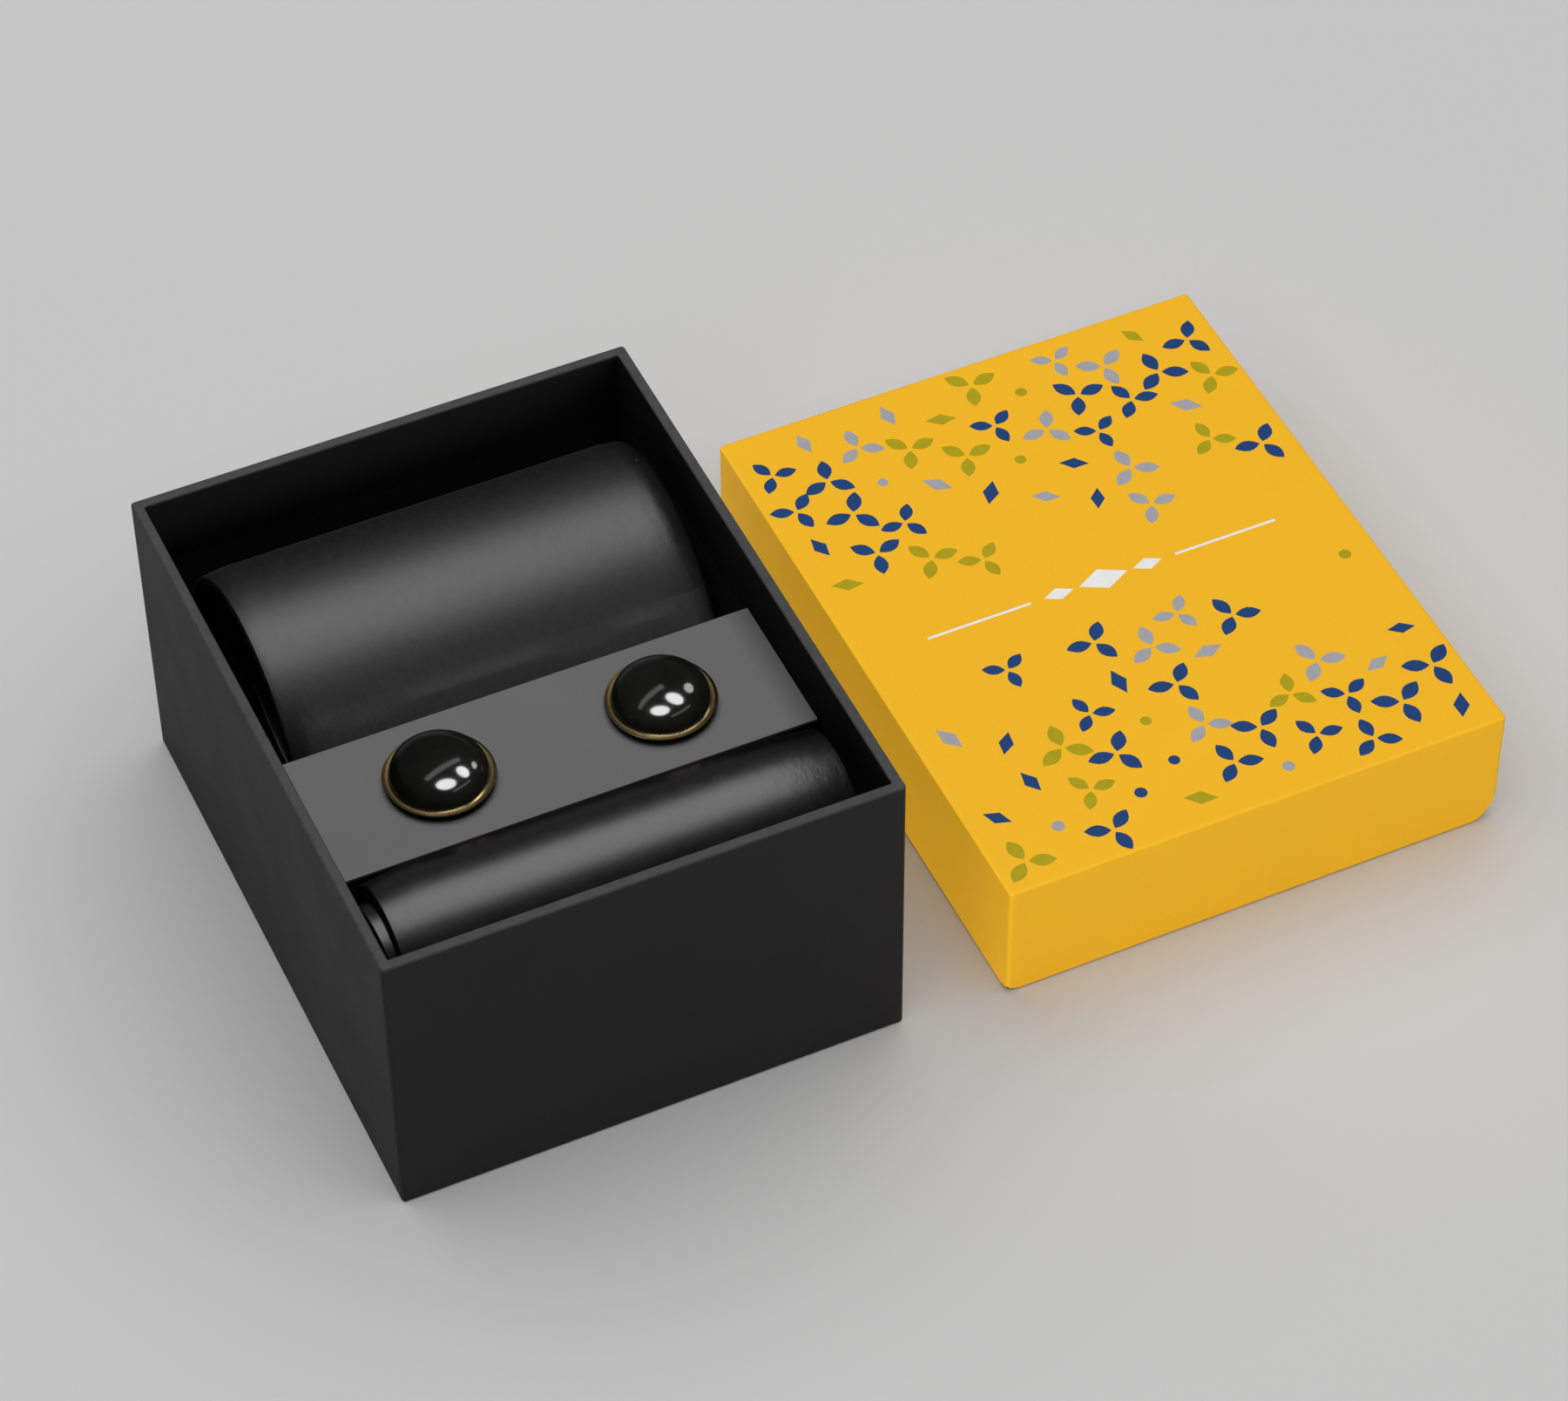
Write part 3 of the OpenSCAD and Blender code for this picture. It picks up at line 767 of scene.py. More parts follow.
def print_tree():
    """Scatters trefoils, lozenges and dots in rows, thinning out towards a bare middle band."""
    tree = bpy.data.node_groups.new("Lid print", "GeometryNodeTree")
    kinds = {"Width": "Float", "Depth": "Float", "Columns": "Int", "Rows": "Int", "Petal": "Float",
             "Bare Band": "Float", "Thickness": "Float", "Seed": "Int", "Place": "Vector",
             "Navy": "Material", "Olive": "Material", "Grey": "Material"}
    for name, kind in kinds.items():
        tree.interface.new_socket(name, in_out="INPUT", socket_type="NodeSocket" + kind)
    tree.interface.new_socket("Geometry", in_out="OUTPUT", socket_type="NodeSocketGeometry")
    given = tree.nodes.new("NodeGroupInput").outputs
    out = tree.nodes.new("NodeGroupOutput").inputs
    hand = Nodes(tree)

    def seed(step):
        return hand.maths("ADD", given["Seed"], step)

    def petals(share):
        return hand.maths("MULTIPLY", given["Petal"], share)

    grid = hand.add("GeometryNodeMeshGrid", {
        "Size X": given["Width"], "Size Y": given["Depth"],
        "Vertices X": given["Columns"], "Vertices Y": given["Rows"]})
    points = hand.add("GeometryNodeMeshToPoints", {"Mesh": grid.outputs["Mesh"]})
    place = hand.add("GeometryNodeInputPosition")
    axes = hand.add("ShaderNodeSeparateXYZ", {0: place.outputs[0]}).outputs
    pitch_x = hand.maths("DIVIDE", given["Width"], hand.maths("SUBTRACT", given["Columns"], 1))
    pitch_y = hand.maths("DIVIDE", given["Depth"], hand.maths("SUBTRACT", given["Rows"], 1))
    half_width = hand.maths("MULTIPLY", given["Width"], 0.5)
    column = hand.maths("ROUND", hand.maths("DIVIDE", hand.maths("ADD", axes["X"], half_width), pitch_x))
    # Every second column is half a row lower
    drop = hand.maths("MULTIPLY", hand.maths("SUBTRACT", hand.maths("MODULO", column, 2.0), 0.5), pitch_y)
    wander = hand.random((-WANDER, -WANDER, 0), (WANDER, WANDER, 0), given["Seed"], "FLOAT_VECTOR")
    shift = hand.vector(y=hand.maths("MULTIPLY", drop, 0.5))
    offset = hand.add("ShaderNodeVectorMath", {0: shift, 1: wander}, operation="ADD")
    spread = hand.add("GeometryNodeSetPosition", {
        "Geometry": points.outputs[0], "Offset": offset.outputs[0]})

    from_band = hand.maths("SUBTRACT", hand.maths("ABSOLUTE", axes["Y"]), given["Bare Band"])
    room = hand.maths("SUBTRACT", hand.maths("MULTIPLY", given["Depth"], 0.5), given["Bare Band"])
    density = hand.maths("ADD", hand.maths("DIVIDE", from_band, room), DENSITY_AT_BAND)
    bare = hand.compare(hand.random(0.0, 1.0, seed(1)), "GREATER_THAN", density)
    gone = hand.logic(bare, "OR", hand.compare(from_band, "LESS_THAN", 0.0))
    kept = hand.add("GeometryNodeDeleteGeometry", {
        "Geometry": spread.outputs[0], "Selection": gone}, domain="POINT")
    inked = hand.add("GeometryNodeStoreNamedAttribute", {
        "Geometry": kept.outputs[0], "Name": "ink", "Value": hand.random(0.0, 1.0, seed(2))},
        data_type="FLOAT", domain="POINT")

    # A petal is a circle drawn in to a point at both ends
    across = hand.maths("MULTIPLY", axes["Y"], hand.maths("ABSOLUTE", axes["Y"]))
    drawn = hand.vector(axes["X"], hand.maths("MULTIPLY", across, 2.0))
    pointed = hand.add("GeometryNodeSetPosition", {"Geometry": hand.disc(16), "Position": drawn})
    lobe = hand.moved(pointed.outputs[0], size=hand.vector(given["Petal"], petals(0.56), 1.0))
    lobe = hand.moved(lobe, place=hand.vector(petals(0.60)))
    trefoil = hand.add("GeometryNodeJoinGeometry")
    for k in range(3):
        tree.links.new(hand.moved(lobe, turn=(0, 0, 2 * math.pi * k / 3)), trefoil.inputs[0])
    lozenge = hand.moved(hand.disc(4), size=hand.vector(petals(1.25), petals(0.62), 1.0))
    dot = hand.moved(hand.disc(12), size=hand.vector(petals(0.48), petals(0.48), 1.0))

    kind = hand.random(0.0, 1.0, seed(3))
    whirl = hand.vector(z=hand.random(0.0, 2 * math.pi, seed(4)))
    scale = hand.random(0.84, 1.04, seed(5))
    everything = hand.add("GeometryNodeJoinGeometry")
    for shape, low, high in ((trefoil.outputs[0], 0.0, 0.62), (lozenge, 0.62, 0.84), (dot, 0.84, 1.01)):
        placed = hand.add("GeometryNodeInstanceOnPoints", {
            "Points": inked.outputs[0], "Selection": hand.between(kind, low, high),
            "Instance": hand.plate(shape, given["Thickness"]), "Rotation": whirl, "Scale": scale})
        tree.links.new(placed.outputs[0], everything.inputs[0])
    shown = hand.moved(everything.outputs[0], place=given["Place"])
    shown = hand.add("GeometryNodeRealizeInstances", {"Geometry": shown}).outputs[0]
    ink = hand.add("GeometryNodeInputNamedAttribute", {"Name": "ink"}, data_type="FLOAT")
    for name, low, high in (("Navy", -1.0, 0.5), ("Olive", 0.5, 0.78), ("Grey", 0.78, 2.0)):
        shown = hand.add("GeometryNodeSetMaterial", {
            "Geometry": shown, "Selection": hand.between(ink.outputs["Attribute"], low, high),
            "Material": given[name]}).outputs[0]
    put(tree, out[0], shown)
    return tree


def print_lid(settings):
    centre = (LID_LOW[0] + LID_HIGH[0]) / 2 * MM
    margin, column_share = 0.0062, 0.87
    width = (LID_HIGH[0] - LID_LOW[0]) * MM - 2 * margin
    depth = (LID_HIGH[1] - LID_LOW[1]) * MM - 2 * margin - settings.spacing / 2
    sunk = LID_HIGH[2] * MM - settings.ink_thickness / 2
    piece = bpy.data.objects.new("lid_print", bpy.data.meshes.new("lid_print"))
    bpy.context.scene.collection.objects.link(piece)
    tree = print_tree()
    modifier = piece.modifiers.new("Print", "NODES")
    modifier.node_group = tree
    inputs = {s.name: s.identifier for s in tree.interface.items_tree
              if s.item_type == "SOCKET" and s.in_out == "INPUT"}
    values = {
        "Width": width, "Depth": depth,
        "Columns": round(width / (settings.spacing * column_share)) + 1,
        "Rows": round(depth / settings.spacing) + 1,
        "Petal": settings.petal, "Bare Band": settings.bare_band,
        "Thickness": settings.ink_thickness, "Seed": settings.seed,
        "Place": (centre, 0.0, sunk),
        "Navy": ink_material("Navy ink", settings.navy),
        "Olive": ink_material("Olive ink", settings.olive),
        "Grey": ink_material("Grey ink", settings.grey),
    }
    for name, value in values.items():
        modifier[inputs[name]] = value
    seen = piece.evaluated_get(bpy.context.evaluated_depsgraph_get())
    made = bpy.data.meshes.new_from_object(seen)
    piece.modifiers.clear()
    piece.data = made
    made.name = "lid_print"
    if not made.polygons:
        raise RuntimeError("the lid's print came out empty")
    stand_in(piece, "lid", [])


def divide_lid(settings):
    """A plain white divider in the bare band: two rules and three lozenges."""
    centre = (LID_LOW[0] + LID_HIGH[0]) / 2 * MM
    top, proud = LID_HIGH[2], settings.ink_thickness / MM / 2
    shapes = []
    length, breadth = 21.0, 0.55
    for x in (-25.5, 25.5):
        shapes.append([(x - length / 2, -breadth / 2), (x + length / 2, -breadth / 2),
                       (x + length / 2, breadth / 2), (x - length / 2, breadth / 2)])
    for x, length, breadth in ((-9.2, 6.0, 3.0), (0.0, 10.0, 5.2), (9.2, 6.0, 3.0)):
        shapes.append([(x - length / 2, 0), (x, -breadth / 2), (x + length / 2, 0), (x, breadth / 2)])
    points, faces = [], []
    for shape in shapes:
        start, count = len(points), len(shape)
        for z in (top - proud, top + proud):
            points += [(x + centre / MM, y, z) for x, y in shape]
        faces += [tuple(range(start, start + count)), tuple(range(start + count, start + 2 * count))]
        faces += [(start + k, start + (k + 1) % count, start + count + (k + 1) % count,
                   start + count + k) for k in range(count)]
    divider = make_piece("lid_divider", points, faces, ink_material("White ink", WHITE_INK))
    stand_in(divider, "lid", [])


# ---- cufflink bar ----


def dress_bar():
    front, rear, top, low = BAR_LOW[1], BAR_HIGH[1], BAR_HIGH[2], BAR_LOW[2]
    middle, edge = (front + rear) / 2, 0.4
    slot_x, slot_y = 17.0 / 2, 6.4 / 2
    sections = []
    for skin in (0.0, PAPER):
        path = [(front + skin, low), (front + skin, top - skin), (middle - slot_y, top - skin),
                (middle + slot_y, top - skin), (rear - skin, top - skin), (rear - skin, low)]
        sections.append(soften(path, [0, edge - skin, 0, 0, edge - skin, 0], guard=0.5))
    columns = [BAR_LOW[0]]
    for cup in ("left_cup", "right_cup"):
        x = sum(corner[0] for corner in node_box(cup)) / 2
        columns += [x - slot_x, x + slot_x]
    columns.append(BAR_HIGH[0])
    rows = len(sections[0])
    slot_row = next(i for i, p in enumerate(sections[0]) if abs(p[0] - (middle - slot_y)) < 1e-6)
    points = [(x, y, z) for section in sections for x in columns for y, z in section]

    def at(side, column, row):
        return (side * len(columns) + column) * rows + row

    faces, last_column, last_row = [], len(columns) - 1, rows - 1

    def cross(a, b):
        """A face through the paper's thickness, along the edge from a to b."""
        faces.append((at(0, *a), at(0, *b), at(1, *b), at(1, *a)))

    for column in range(last_column):
        for row in range(last_row):
            corners = [(column, row), (column + 1, row), (column + 1, row + 1), (column, row + 1)]
            if column in (1, 3) and row == slot_row:
                for a, b in zip(corners, corners[1:] + corners[:1]):
                    cross(a, b)
            else:
                faces += [tuple(at(side, *corner) for corner in corners) for side in (0, 1)]
        for row in (0, last_row):
            cross((column, row), (column + 1, row))
    for column in (0, last_column):
        for row in range(last_row):
            cross((column, row), (column, row + 1))
    cover = make_piece("bar_cover_paper", points, faces, finish("Grey paper"))
    stand_in(cover, "bar", ["bar_cover"])
    paint_node("bar_card", "Grey card")


# ---- cufflinks ----


def dress_cufflink(side, dome):
    cup_low, cup_high = node_box(side + "_cup")
    rim_low, rim_high = node_box(side + "_bezel")
    centre = ((cup_low[0] + cup_high[0]) / 2, (cup_low[1] + cup_high[1]) / 2, cup_low[2])
    outer = rim_high[0] - centre[0]
    cup_height, bezel_height, seat_floor = cup_high[2] - cup_low[2], rim_high[2] - rim_low[2], 0.5
    stone_radius, girdle = outer - 1.25, cup_height + bezel_height
    seat = stone_radius + 0.03
    body = side + "_cufflink"

    cup_path = [(0, 0), (outer - 0.7, 0), (outer - 0.1, cup_height), (seat, cup_height),
                (seat, seat_floor), (0, seat_floor)]
    cup_path = soften(cup_path, [0, 0.25, 0.06, 0.06, 0, 0], steps=4, guard=0.1)
    cup = lathe(side + "_cup_dished", cup_path, centre, finish("Dark plating"))
    stand_in(cup, body, [side + "_cup"])

    # The path starts and ends half way up the seat
    rim = [(seat, 0.3), (seat, 0), (outer - 0.05, 0), (outer, 0.55 * bezel_height),
           (outer - 0.62, bezel_height), (seat, bezel_height - 0.05), (seat, 0.3)]
    rim = soften(rim, [0, 0.04, 0.14, 0.28, 0.22, 0.04, 0], guard=0)[:-1]
    bezel = lathe(side + "_bezel_rolled", [(r, z + cup_height) for r, z in rim], centre,
                  finish("Gold"), around=216)
    stand_in(bezel, body, [side + "_bezel"])

    profile = [(0, seat_floor), (stone_radius - 0.2, seat_floor), (stone_radius, seat_floor + 0.2),
               (stone_radius, girdle - 0.3)]
    profile += [(stone_radius * math.cos(a), girdle + dome * math.sin(a))
                for a in (math.pi / 2 * k / 28 for k in range(28))]
    profile.append((0, girdle + dome))
    stone = lathe(side + "_stone_polished", profile, centre, finish("Polished stone"),
                  around=128, sharp=60.0)
    stand_in(stone, body, [side + "_stone"])

    paint_node(side + "_post", "Steel")
    paint_node(side + "_pin", "Steel")
    paint_node(side + "_toggle", "Dark plating")


# ---- rolled cloth ----

CLIMB_START = 5 / 6  # share of a turn after which the cloth climbs on to the turn below
LAYER_GAP = 0.4
TURN_STEPS = 48
STRAIGHT_STEPS = 8


def layers(turn):
    """How many layers lie under the cloth at a turn counted from the core."""
    whole = math.floor(turn + 1e-9)
    return whole + smooth((turn - whole - CLIMB_START) / (1 - CLIMB_START))


def winding(turns, straight=0.0):
    """Stations from the core outwards: (turn, outward y, outward z, lift of the half round)."""
    stations = []
    for i in range(round(turns * TURN_STEPS) + 1):
        part, turn = i % TURN_STEPS, i / TURN_STEPS
        angle = 2 * math.pi * part / TURN_STEPS
        side = straight / 2 if part <= TURN_STEPS / 2 else -straight / 2
        lifts = [side]
        if straight and i and part in (0, TURN_STEPS // 2):
            start = -side if part == 0 else side
            lifts = [start * (1 - 2 * k / STRAIGHT_STEPS) for k in range(STRAIGHT_STEPS + 1)]
        stations += [(turn, math.cos(angle), math.sin(angle), lift) for lift in lifts]
    return stations


def sweep(name, stations, material):
    """A cloth piece through stations. Each is a ring of (x, y, z, u) and its length v, in mm."""
    points, faces = shell([[p[:3] for p in ring] for ring, _ in stations])
    uvs = []
    for (a, va), (b, vb) in zip(stations, stations[1:]):
        # The last column closes the ring, so its far side carries on from its near side
        for k in range(len(a)):
            n = k + 1 if k + 1 < len(a) else k
            uvs += [(a[k][3], va), (a[n][3], va), (b[n][3], vb), (b[k][3], vb)]
    (first, start), (last, end) = stations[0], stations[-1]
    uvs += [(p[3], start - 1) for p in reversed(first)] + [(p[3], end + 1) for p in last]
    uvs = [(u * MM, v * MM) for u, v in uvs]
    return make_piece(name, points, faces, material, uvs, sharp=70.0)


def tie_section(half, thickness):
    """Outline of the folded tie across its width, as (x, height, u), with the seam on its back."""
    edge = thickness / 2
    flat = half - edge
    columns = 22
    across = [flat * (-1 + 2 * k / columns) for k in range(columns + 1)]
    turn = [math.pi * k / 6 for k in range(1, 6)]
    outline = [(x, edge, x) for x in across]
    outline += [(flat + edge * math.sin(a), edge * math.cos(a), flat + edge * a) for a in turn]
    for x in reversed(across):
        seam = 0.3 * edge * max(0.0, 1 - abs(x) / (0.12 * half + 0.4))
        outline.append((x, -edge + seam, 2 * half - x))
    outline += [(-flat - edge * math.sin(a), -edge * math.cos(a), 3 * half + edge * a) for a in turn]
    return outline


def droop(x, low, high, deep, reach):
    """How far the cloth sinks inwards near the roll's two ends."""
    return deep * smooth(1 - min(x - low, high - x) / reach)


def tie_path(settings, outer, ply, tail_back):
    """The doubled tie's middle line: (y, z, normal y, z, outward y, z, half width, radius)."""
    core, rounds, start = 3.7, 7, 0.15
    turns = rounds + CLIMB_START
    tail_end = turns - tail_back
    pitch = (outer - core) / rounds
    spread = pitch - LAYER_GAP - ply  # between the two plies' middle lines
    blade, neck, tail = settings.blade / MM, settings.neck / MM, settings.tail / MM
    tip, taper = 1.5, 2 * math.pi * outer  # half width of a tip, and its growth in a turn
    path = []
    stations = [s[:3] for s in winding(turns) if s[0] >= start]
    for turn, ny, nz in reversed(stations):
        radius = core + pitch * layers(turn) - ply / 2
        half = min((neck + (blade - neck) * min(1, turn / rounds)) / 2, tip + (turns - turn) * taper)
        path.append((ny * radius, nz * radius, ny, nz, ny, nz, half, radius))
    turn, ny, nz = stations[0]
    mid = core + pitch * layers(turn) - ply / 2 - spread / 2
    for k in range(1, 8):
        a = math.pi * k / 8
        my = ny * math.cos(a) + nz * math.sin(a)
        mz = nz * math.cos(a) - ny * math.sin(a)
        path.append((ny * mid + my * spread / 2, nz * mid + mz * spread / 2, my, mz, ny, nz,
                     neck / 2, mid))
    for turn, ny, nz in stations:
        if turn > tail_end:
            break
        radius = core + pitch * layers(turn) - ply / 2 - spread
        half = min((neck + (tail - neck) * turn / rounds) / 2, tip + (tail_end - turn) * taper)
        path.append((ny * radius, nz * radius, -ny, -nz, ny, nz, half, radius))
    return path


def roll_necktie(settings):
    outer, ply = 28.2, 1.45
    low, high = TIE_LOW[0], TIE_HIGH[0]
    middle_x, middle_y, middle_z = (low + high) / 2, 29.45, 30.55
    end_drop, end_reach = 0.55, 3.0
    path = tie_path(settings, outer, ply, tail_back=0.36)
    stations, length, flat_area = [], 0.0, 0.0
    for i, (y, z, my, mz, ry, rz, half, radius) in enumerate(path):
        if i:
            step = math.dist((y, z), path[i - 1][:2])
            length += step
            flat_area += step * (half + path[i - 1][6])
        ring = []
        for x, h, u in tie_section(half, ply):
            sink = droop(middle_x + x, low, high, end_drop * radius / outer, end_reach)
            ring.append((middle_x + x, middle_y + y + my * h - ry * sink,
                         middle_z + z + mz * h - rz * sink, u))
        stations.append((ring, length))
    tie = sweep("necktie_folded_silk", stations, finish("Tie silk"))
    stand_in(tie, "rolled_necktie", ["necktie"])


def square_section(half, sheet, gap, plies):
    """Outline of a sheet folded to and fro across a strip, as (x, height, u)."""
    pitch = sheet + gap
    bend, base = pitch / 2, -pitch * (plies - 1) / 2
    flat, columns, bend_steps = half - bend - sheet / 2, 10, 6
    line, run = [], 0.0  # (x, height, normal x, normal height, u)
    for ply in range(plies):
        way = 1 if ply % 2 == 0 else -1
        low = base + pitch * ply
        for k in range(min(ply, 1), columns + 1):
            t = -1 + 2 * k / columns
            line.append((way * flat * t, low, 0.0, way, run + flat * (t + 1)))
        run += 2 * flat
        if ply < plies - 1:
            for a in (math.pi * k / bend_steps for k in range(1, bend_steps + 1)):
                line.append((way * (flat + bend * math.sin(a)), low + bend - bend * math.cos(a),
                             -math.sin(a), way * math.cos(a), run + bend * a))
            run += math.pi * bend
    outline = [(x + nx * sheet / 2, h + nh * sheet / 2, u) for x, h, nx, nh, u in line]
    outline += [(x - nx * sheet / 2, h - nh * sheet / 2, u) for x, h, nx, nh, u in reversed(line)]
    return outline


def roll_square():
    outer, core, rounds, straight = 14.0, 3.8, 3, 29.0
    middle_x, middle_y, middle_z = 0.3, -43.65, 30.85
    half, sheet, gap, plies = 42.3, 0.45, 0.14, 5
    slip, slip_turn = 2.4, 2  # how far the turns below this one stick out at the left
    end_drop, end_reach = 1.15, 5.5
    pitch, thick = (outer - core) / rounds, plies * sheet + (plies - 1) * gap
    outline = square_section(half, sheet, gap, plies)
    stations, length, before = [], 0.0, None
    for turn, ny, nz, lift in winding(rounds + CLIMB_START, straight):
        radius = core + pitch * layers(turn) - thick / 2
        here = (ny * radius, nz * radius + lift)
        if before:
            length += math.dist(here, before)
        before = here
        shift = middle_x - slip * (1 - smooth(turn - slip_turn))
        ring = []
        for x, h, u in outline:
            sink = droop(shift + x, middle_x - half, middle_x + half, end_drop * radius / outer,
                         end_reach)
            ring.append((shift + x, middle_y + here[0] + ny * (h - sink),
                         middle_z + here[1] + nz * (h - sink), u))
        stations.append((ring, length))
    square = sweep("pocket_square_folded_cotton", stations, finish("Square cotton"))
    stand_in(square, "rolled_pocket_square", ["pocket_square"])


# ---- stage ----


def direction(azimuth, elevation):
    """Unit vector towards azimuth from the front, positive to the right, and elevation."""
    a, e = math.radians(azimuth), math.radians(elevation)
    return Vector((math.sin(a) * math.cos(e), -math.cos(a) * math.cos(e), math.sin(e)))


def link_lamp(lamp, pieces, without=False, unshaded=False):
    """Links a lamp to some pieces alone, or to everything without them.

    An unshaded lamp's light is stopped by those pieces and by nothing else.
    """
    group = bpy.data.collections.new(lamp.name + "_receivers")
    for piece in pieces:
        group.objects.link(piece)
    if without:
        for item in group.collection_objects:
            item.light_linking.link_state = "EXCLUDE"
    lamp.light_linking.receiver_collection = group
    if unshaded:
        lamp.light_linking.blocker_collection = group


def soft_lamp(name, place, target, size, power, along=None):
    """An area lamp that faces its target, level or with its longer side along a direction."""
    light = bpy.data.lights.new(name, "AREA")
    light.shape = "RECTANGLE"
    light.size, light.size_y = size
    light.energy = power
    lamp = bpy.data.objects.new(name, light)
    bpy.context.scene.collection.objects.link(lamp)
    back = (place - target).normalized()
    right = along or Vector((0, 0, 1)).cross(back)
    right = Vector((1, 0, 0)) if right.length < 0.3 and not along else right.normalized()
    up = back.cross(right).normalized()
    right = up.cross(back)
    lamp.matrix_world = Matrix.Translation(place) @ Matrix((right, up, back)).transposed().to_4x4()
    lamp.visible_camera = False
    return lamp


def lay_floor(colour):
    """A round floor just below the box, which fades out towards its rim."""
    centre_x, radius, below, steps = 0.06, 1.7, -0.0002, 96
    fade_start, fade_end = 0.9, 1.55
    mesh = bpy.data.meshes.new("floor")
    rim = [(centre_x + radius * math.cos(2 * math.pi * k / steps),
            radius * math.sin(2 * math.pi * k / steps), below) for k in range(steps)]
    mesh.from_pydata(rim, [], [tuple(range(steps))])
    floor = bpy.data.objects.new("floor", mesh)
    bpy.context.scene.collection.objects.link(floor)
    material, tree, shader = new_material("Floor", Roughness=0.9, Specular_IOR_Level=0.0)
    place = object_place(tree)
    put(tree, shader["Base Color"], toned(tree, colour, noise(tree, place, 3.0), 0.003))
    distance = tree.nodes.new("ShaderNodeVectorMath")
    distance.operation = "LENGTH"
    put(tree, distance.inputs[0], place)
    put(tree, shader["Alpha"], span(tree, distance.outputs["Value"], fade_end, fade_start))
    mesh.materials.append(material)
    return floor


def surround():
    """A dim room with a pale band along the horizon and below it."""
    dim, pale = (0.045, 0.045, 0.045), (0.597, 0.597, 0.597)
    band_low, band_high = 0.05, 0.14
    world = bpy.data.worlds.new("Pale room")
    bpy.context.scene.world = world
    world.use_nodes = True
    tree = world.node_tree
    tree.nodes.clear()
    background = tree.nodes.new("ShaderNodeBackground")
    out = tree.nodes.new("ShaderNodeOutputWorld")
    tree.links.new(background.outputs[0], out.inputs[0])
    axes = axes_of(tree, tree.nodes.new("ShaderNodeTexCoord").outputs["Generated"])
    put(tree, background.inputs["Color"], mixed(tree, span(tree, axes["Z"], band_high, band_low), dim, pale))


def light_box(settings, floor):
    """Soft lamps for the whole box. Some leave a piece out, or light only that piece."""
    middle = Vector((0.06, 0.0, 0.03))
    stones, bezels = ([bpy.data.objects[side + part] for side in ("left", "right")]
                      for part in ("_stone_polished", "_bezel_rolled"))
    lid = [bpy.data.objects[n] for n in ("lid_wrap_paper", "lid_print", "lid_divider")]
    tie = bpy.data.objects["necktie_folded_silk"]
    overhead, overhead_size, bezel_share = Vector((0.08, 0.24, 1.23)), (1.0, 1.1), 0.08
    front, left, side = (middle + direction(azimuth, 12) * 1.5 for azimuth in (20, -60, -62))
    fill_size = (0.8, 0.5)
    for name, place, size, power, pieces, links in (
            ("bezel_softbox", overhead, overhead_size, settings.overhead * bezel_share, bezels, {}),
            ("overhead_softbox", overhead, overhead_size, settings.overhead,
             [*stones, *bezels, floor], {"without": True}),
            ("floor_wash", Vector((0.06, 0.1, 2.0)), (5.0, 5.0), settings.wash, [floor], {}),
            ("front_fill", front, fill_size, settings.fill, [*stones, floor, tie], {"without": True}),
            ("silk_fill", front, fill_size, settings.fill, [tie], {"unshaded": True}),
            ("left_fill", left, fill_size, settings.left_fill, [*stones, floor], {"without": True}),
            ("lid_side_fill", side, fill_size, settings.lid_fill, lid, {"unshaded": True})):
        link_lamp(soft_lamp(name, place, middle, size, power), pieces, **links)
    return stones


def light_stones(sparkle, stones):
    """Small lamps close by, which only the polished stones catch."""
    face = Vector((0.0, -0.0142, 0.055))
    tilt = Vector((0.031, -0.044, -0.046))
    for name, place, size, share, along in (
            ("sparkle_front", (-0.014, -0.080, 0.170), (0.087, 0.064), 1.0, None),
            ("sparkle_right", (0.054, -0.035, 0.146), (0.060, 0.038), 1.0, tilt),
            ("sparkle_side", (0.079, -0.009, 0.104), (0.024, 0.024), 0.4, None)):
        power = sparkle * share * math.pi * size[0] * size[1]
        lamp = soft_lamp(name, Vector(place), face, size, power, along)
        lamp.data.shape = "ELLIPSE"
        link_lamp(lamp, stones)
    for name, start, end, breadth, share in (
            ("streak_overhead", Vector((-0.043, -0.022, 0.097)), Vector((0.028, 0.010, 0.150)), 0.011, 0.12),
            ("streak_low", face + direction(6, 36) * 0.3, face + direction(58, 31) * 0.3, 0.03, 0.10)):
        length = (end - start).length
        power = sparkle * share * math.pi * length * breadth
        link_lamp(soft_lamp(name, (start + end) / 2, face, (length, breadth), power, end - start), stones)


def aim_camera():
    """The camera that the edges of the box in the photograph give."""
    lens, film = 122.8, 36.0
    back, distance, roll = direction(-24.410, 47.268), 1.0047, math.radians(-0.529)
    target = Vector((0.0613, 0.0195, 0.0))
    camera = bpy.data.objects.new("camera", bpy.data.cameras.new("camera"))
    bpy.context.scene.collection.objects.link(camera)
    camera.data.lens = lens
    camera.data.sensor_width = film
    camera.data.sensor_fit = "HORIZONTAL"
    camera.data.clip_start = 0.05
    right = Vector((0, 0, 1)).cross(back).normalized()
    up = back.cross(right)
    right, up = (right * math.cos(roll) + up * math.sin(roll),
                 up * math.cos(roll) - right * math.sin(roll))
    turn = Matrix((right, up, back)).transposed().to_4x4()
    camera.matrix_world = Matrix.Translation(target + back * distance) @ turn
    bpy.context.scene.camera = camera


def set_stage(settings):
    floor = lay_floor(settings.floor)
    surround()
    stones = light_box(settings, floor)
    light_stones(settings.sparkle, stones)
    aim_camera()
    bpy.context.scene.view_settings.view_transform = "Standard"


# ---- operators, panel and registration ----


class DressTray(bpy.types.Operator):
    """Covers the tray with black paper and finishes its boards and linings"""

    bl_idname = "cufflink_box.dress_tray"
    bl_label = "Dress the tray"

    def execute(self, context):
        dress_tray(context.scene.box_papers)
        return {"FINISHED"}


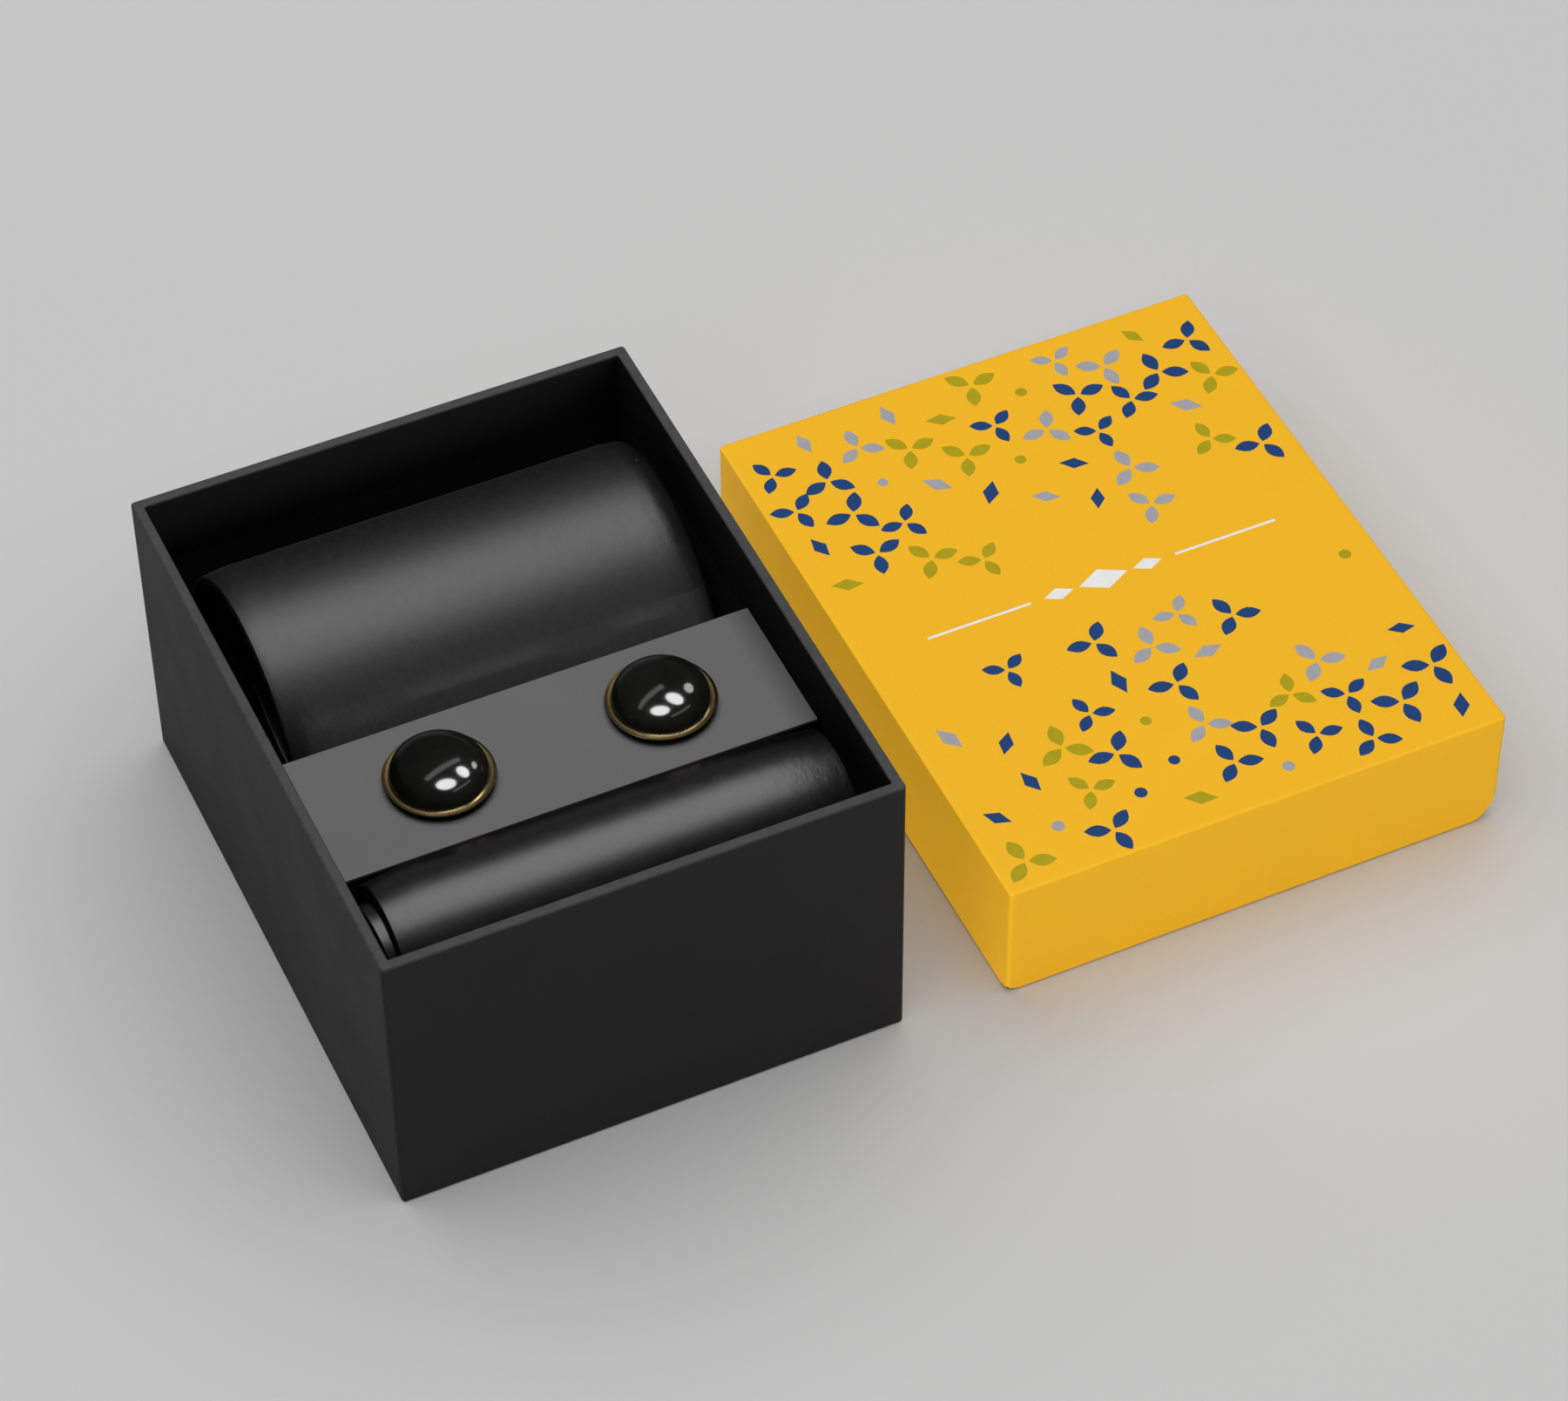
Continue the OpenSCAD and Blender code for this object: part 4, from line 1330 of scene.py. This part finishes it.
class DressLid(bpy.types.Operator):
    """Covers the lid with yellow paper and finishes its boards and linings"""

    bl_idname = "cufflink_box.dress_lid"
    bl_label = "Dress the lid"

    def execute(self, context):
        dress_lid(context.scene.box_papers)
        return {"FINISHED"}


class PrintLid(bpy.types.Operator):
    """Prints the ornament and the divider on the lid's top"""

    bl_idname = "cufflink_box.print_lid"
    bl_label = "Print the lid"

    def execute(self, context):
        print_lid(context.scene.box_print)
        divide_lid(context.scene.box_print)
        return {"FINISHED"}


class DressBar(bpy.types.Operator):
    """Covers the cufflink bar with grey paper"""

    bl_idname = "cufflink_box.dress_bar"
    bl_label = "Dress the bar"

    def execute(self, context):
        dress_bar()
        return {"FINISHED"}


class DressCufflinks(bpy.types.Operator):
    """Makes the cups, bezels and polished stones of both cufflinks"""

    bl_idname = "cufflink_box.dress_cufflinks"
    bl_label = "Finish the cufflinks"

    def execute(self, context):
        for side in ("left", "right"):
            dress_cufflink(side, context.scene.box_cufflinks.dome / MM)
        return {"FINISHED"}


class RollNecktie(bpy.types.Operator):
    """Folds the tie double and rolls it"""

    bl_idname = "cufflink_box.roll_necktie"
    bl_label = "Roll the necktie"

    def execute(self, context):
        roll_necktie(context.scene.box_rolls)
        return {"FINISHED"}


class RollSquare(bpy.types.Operator):
    """Folds the pocket square in five and rolls it flat"""

    bl_idname = "cufflink_box.roll_square"
    bl_label = "Roll the pocket square"

    def execute(self, context):
        roll_square()
        return {"FINISHED"}


class SetStage(bpy.types.Operator):
    """Sets up the floor, the lamps and the camera"""

    bl_idname = "cufflink_box.set_stage"
    bl_label = "Set the stage"

    def execute(self, context):
        set_stage(context.scene.box_stage)
        return {"FINISHED"}


OPERATORS = (DressTray, DressLid, PrintLid, DressBar, DressCufflinks, RollNecktie, RollSquare, SetStage)
SETTINGS = {"box_papers": PaperSettings, "box_print": LidPrintSettings,
            "box_cufflinks": CufflinkSettings, "box_rolls": RollSettings, "box_stage": StageSettings}


class CufflinkBoxPanel(bpy.types.Panel):
    """Lists the settings and the steps that build the box's looks"""

    bl_idname = "VIEW3D_PT_cufflink_box"
    bl_label = "Cufflink display box"
    bl_space_type = "VIEW_3D"
    bl_region_type = "UI"
    bl_category = "Cufflink Box"

    def draw(self, context):
        for name, group in SETTINGS.items():
            part = self.layout.box()
            for key in group.__annotations__:
                part.prop(getattr(context.scene, name), key)
        for operator in OPERATORS:
            self.layout.operator(operator.bl_idname)


def register():
    for group in SETTINGS.values():
        bpy.utils.register_class(group)
    for name, group in SETTINGS.items():
        setattr(bpy.types.Scene, name, PointerProperty(type=group))
    for operator in OPERATORS:
        bpy.utils.register_class(operator)
    bpy.utils.register_class(CufflinkBoxPanel)


def unregister():
    bpy.utils.unregister_class(CufflinkBoxPanel)
    for operator in reversed(OPERATORS):
        bpy.utils.unregister_class(operator)
    for name in SETTINGS:
        delattr(bpy.types.Scene, name)
    for group in reversed(list(SETTINGS.values())):
        bpy.utils.unregister_class(group)


def main():
    register()
    for operator in OPERATORS:
        family, name = operator.bl_idname.split(".")
        getattr(getattr(bpy.ops, family), name)()
    bpy.context.view_layer.update()


if __name__ == "__main__":
    main()
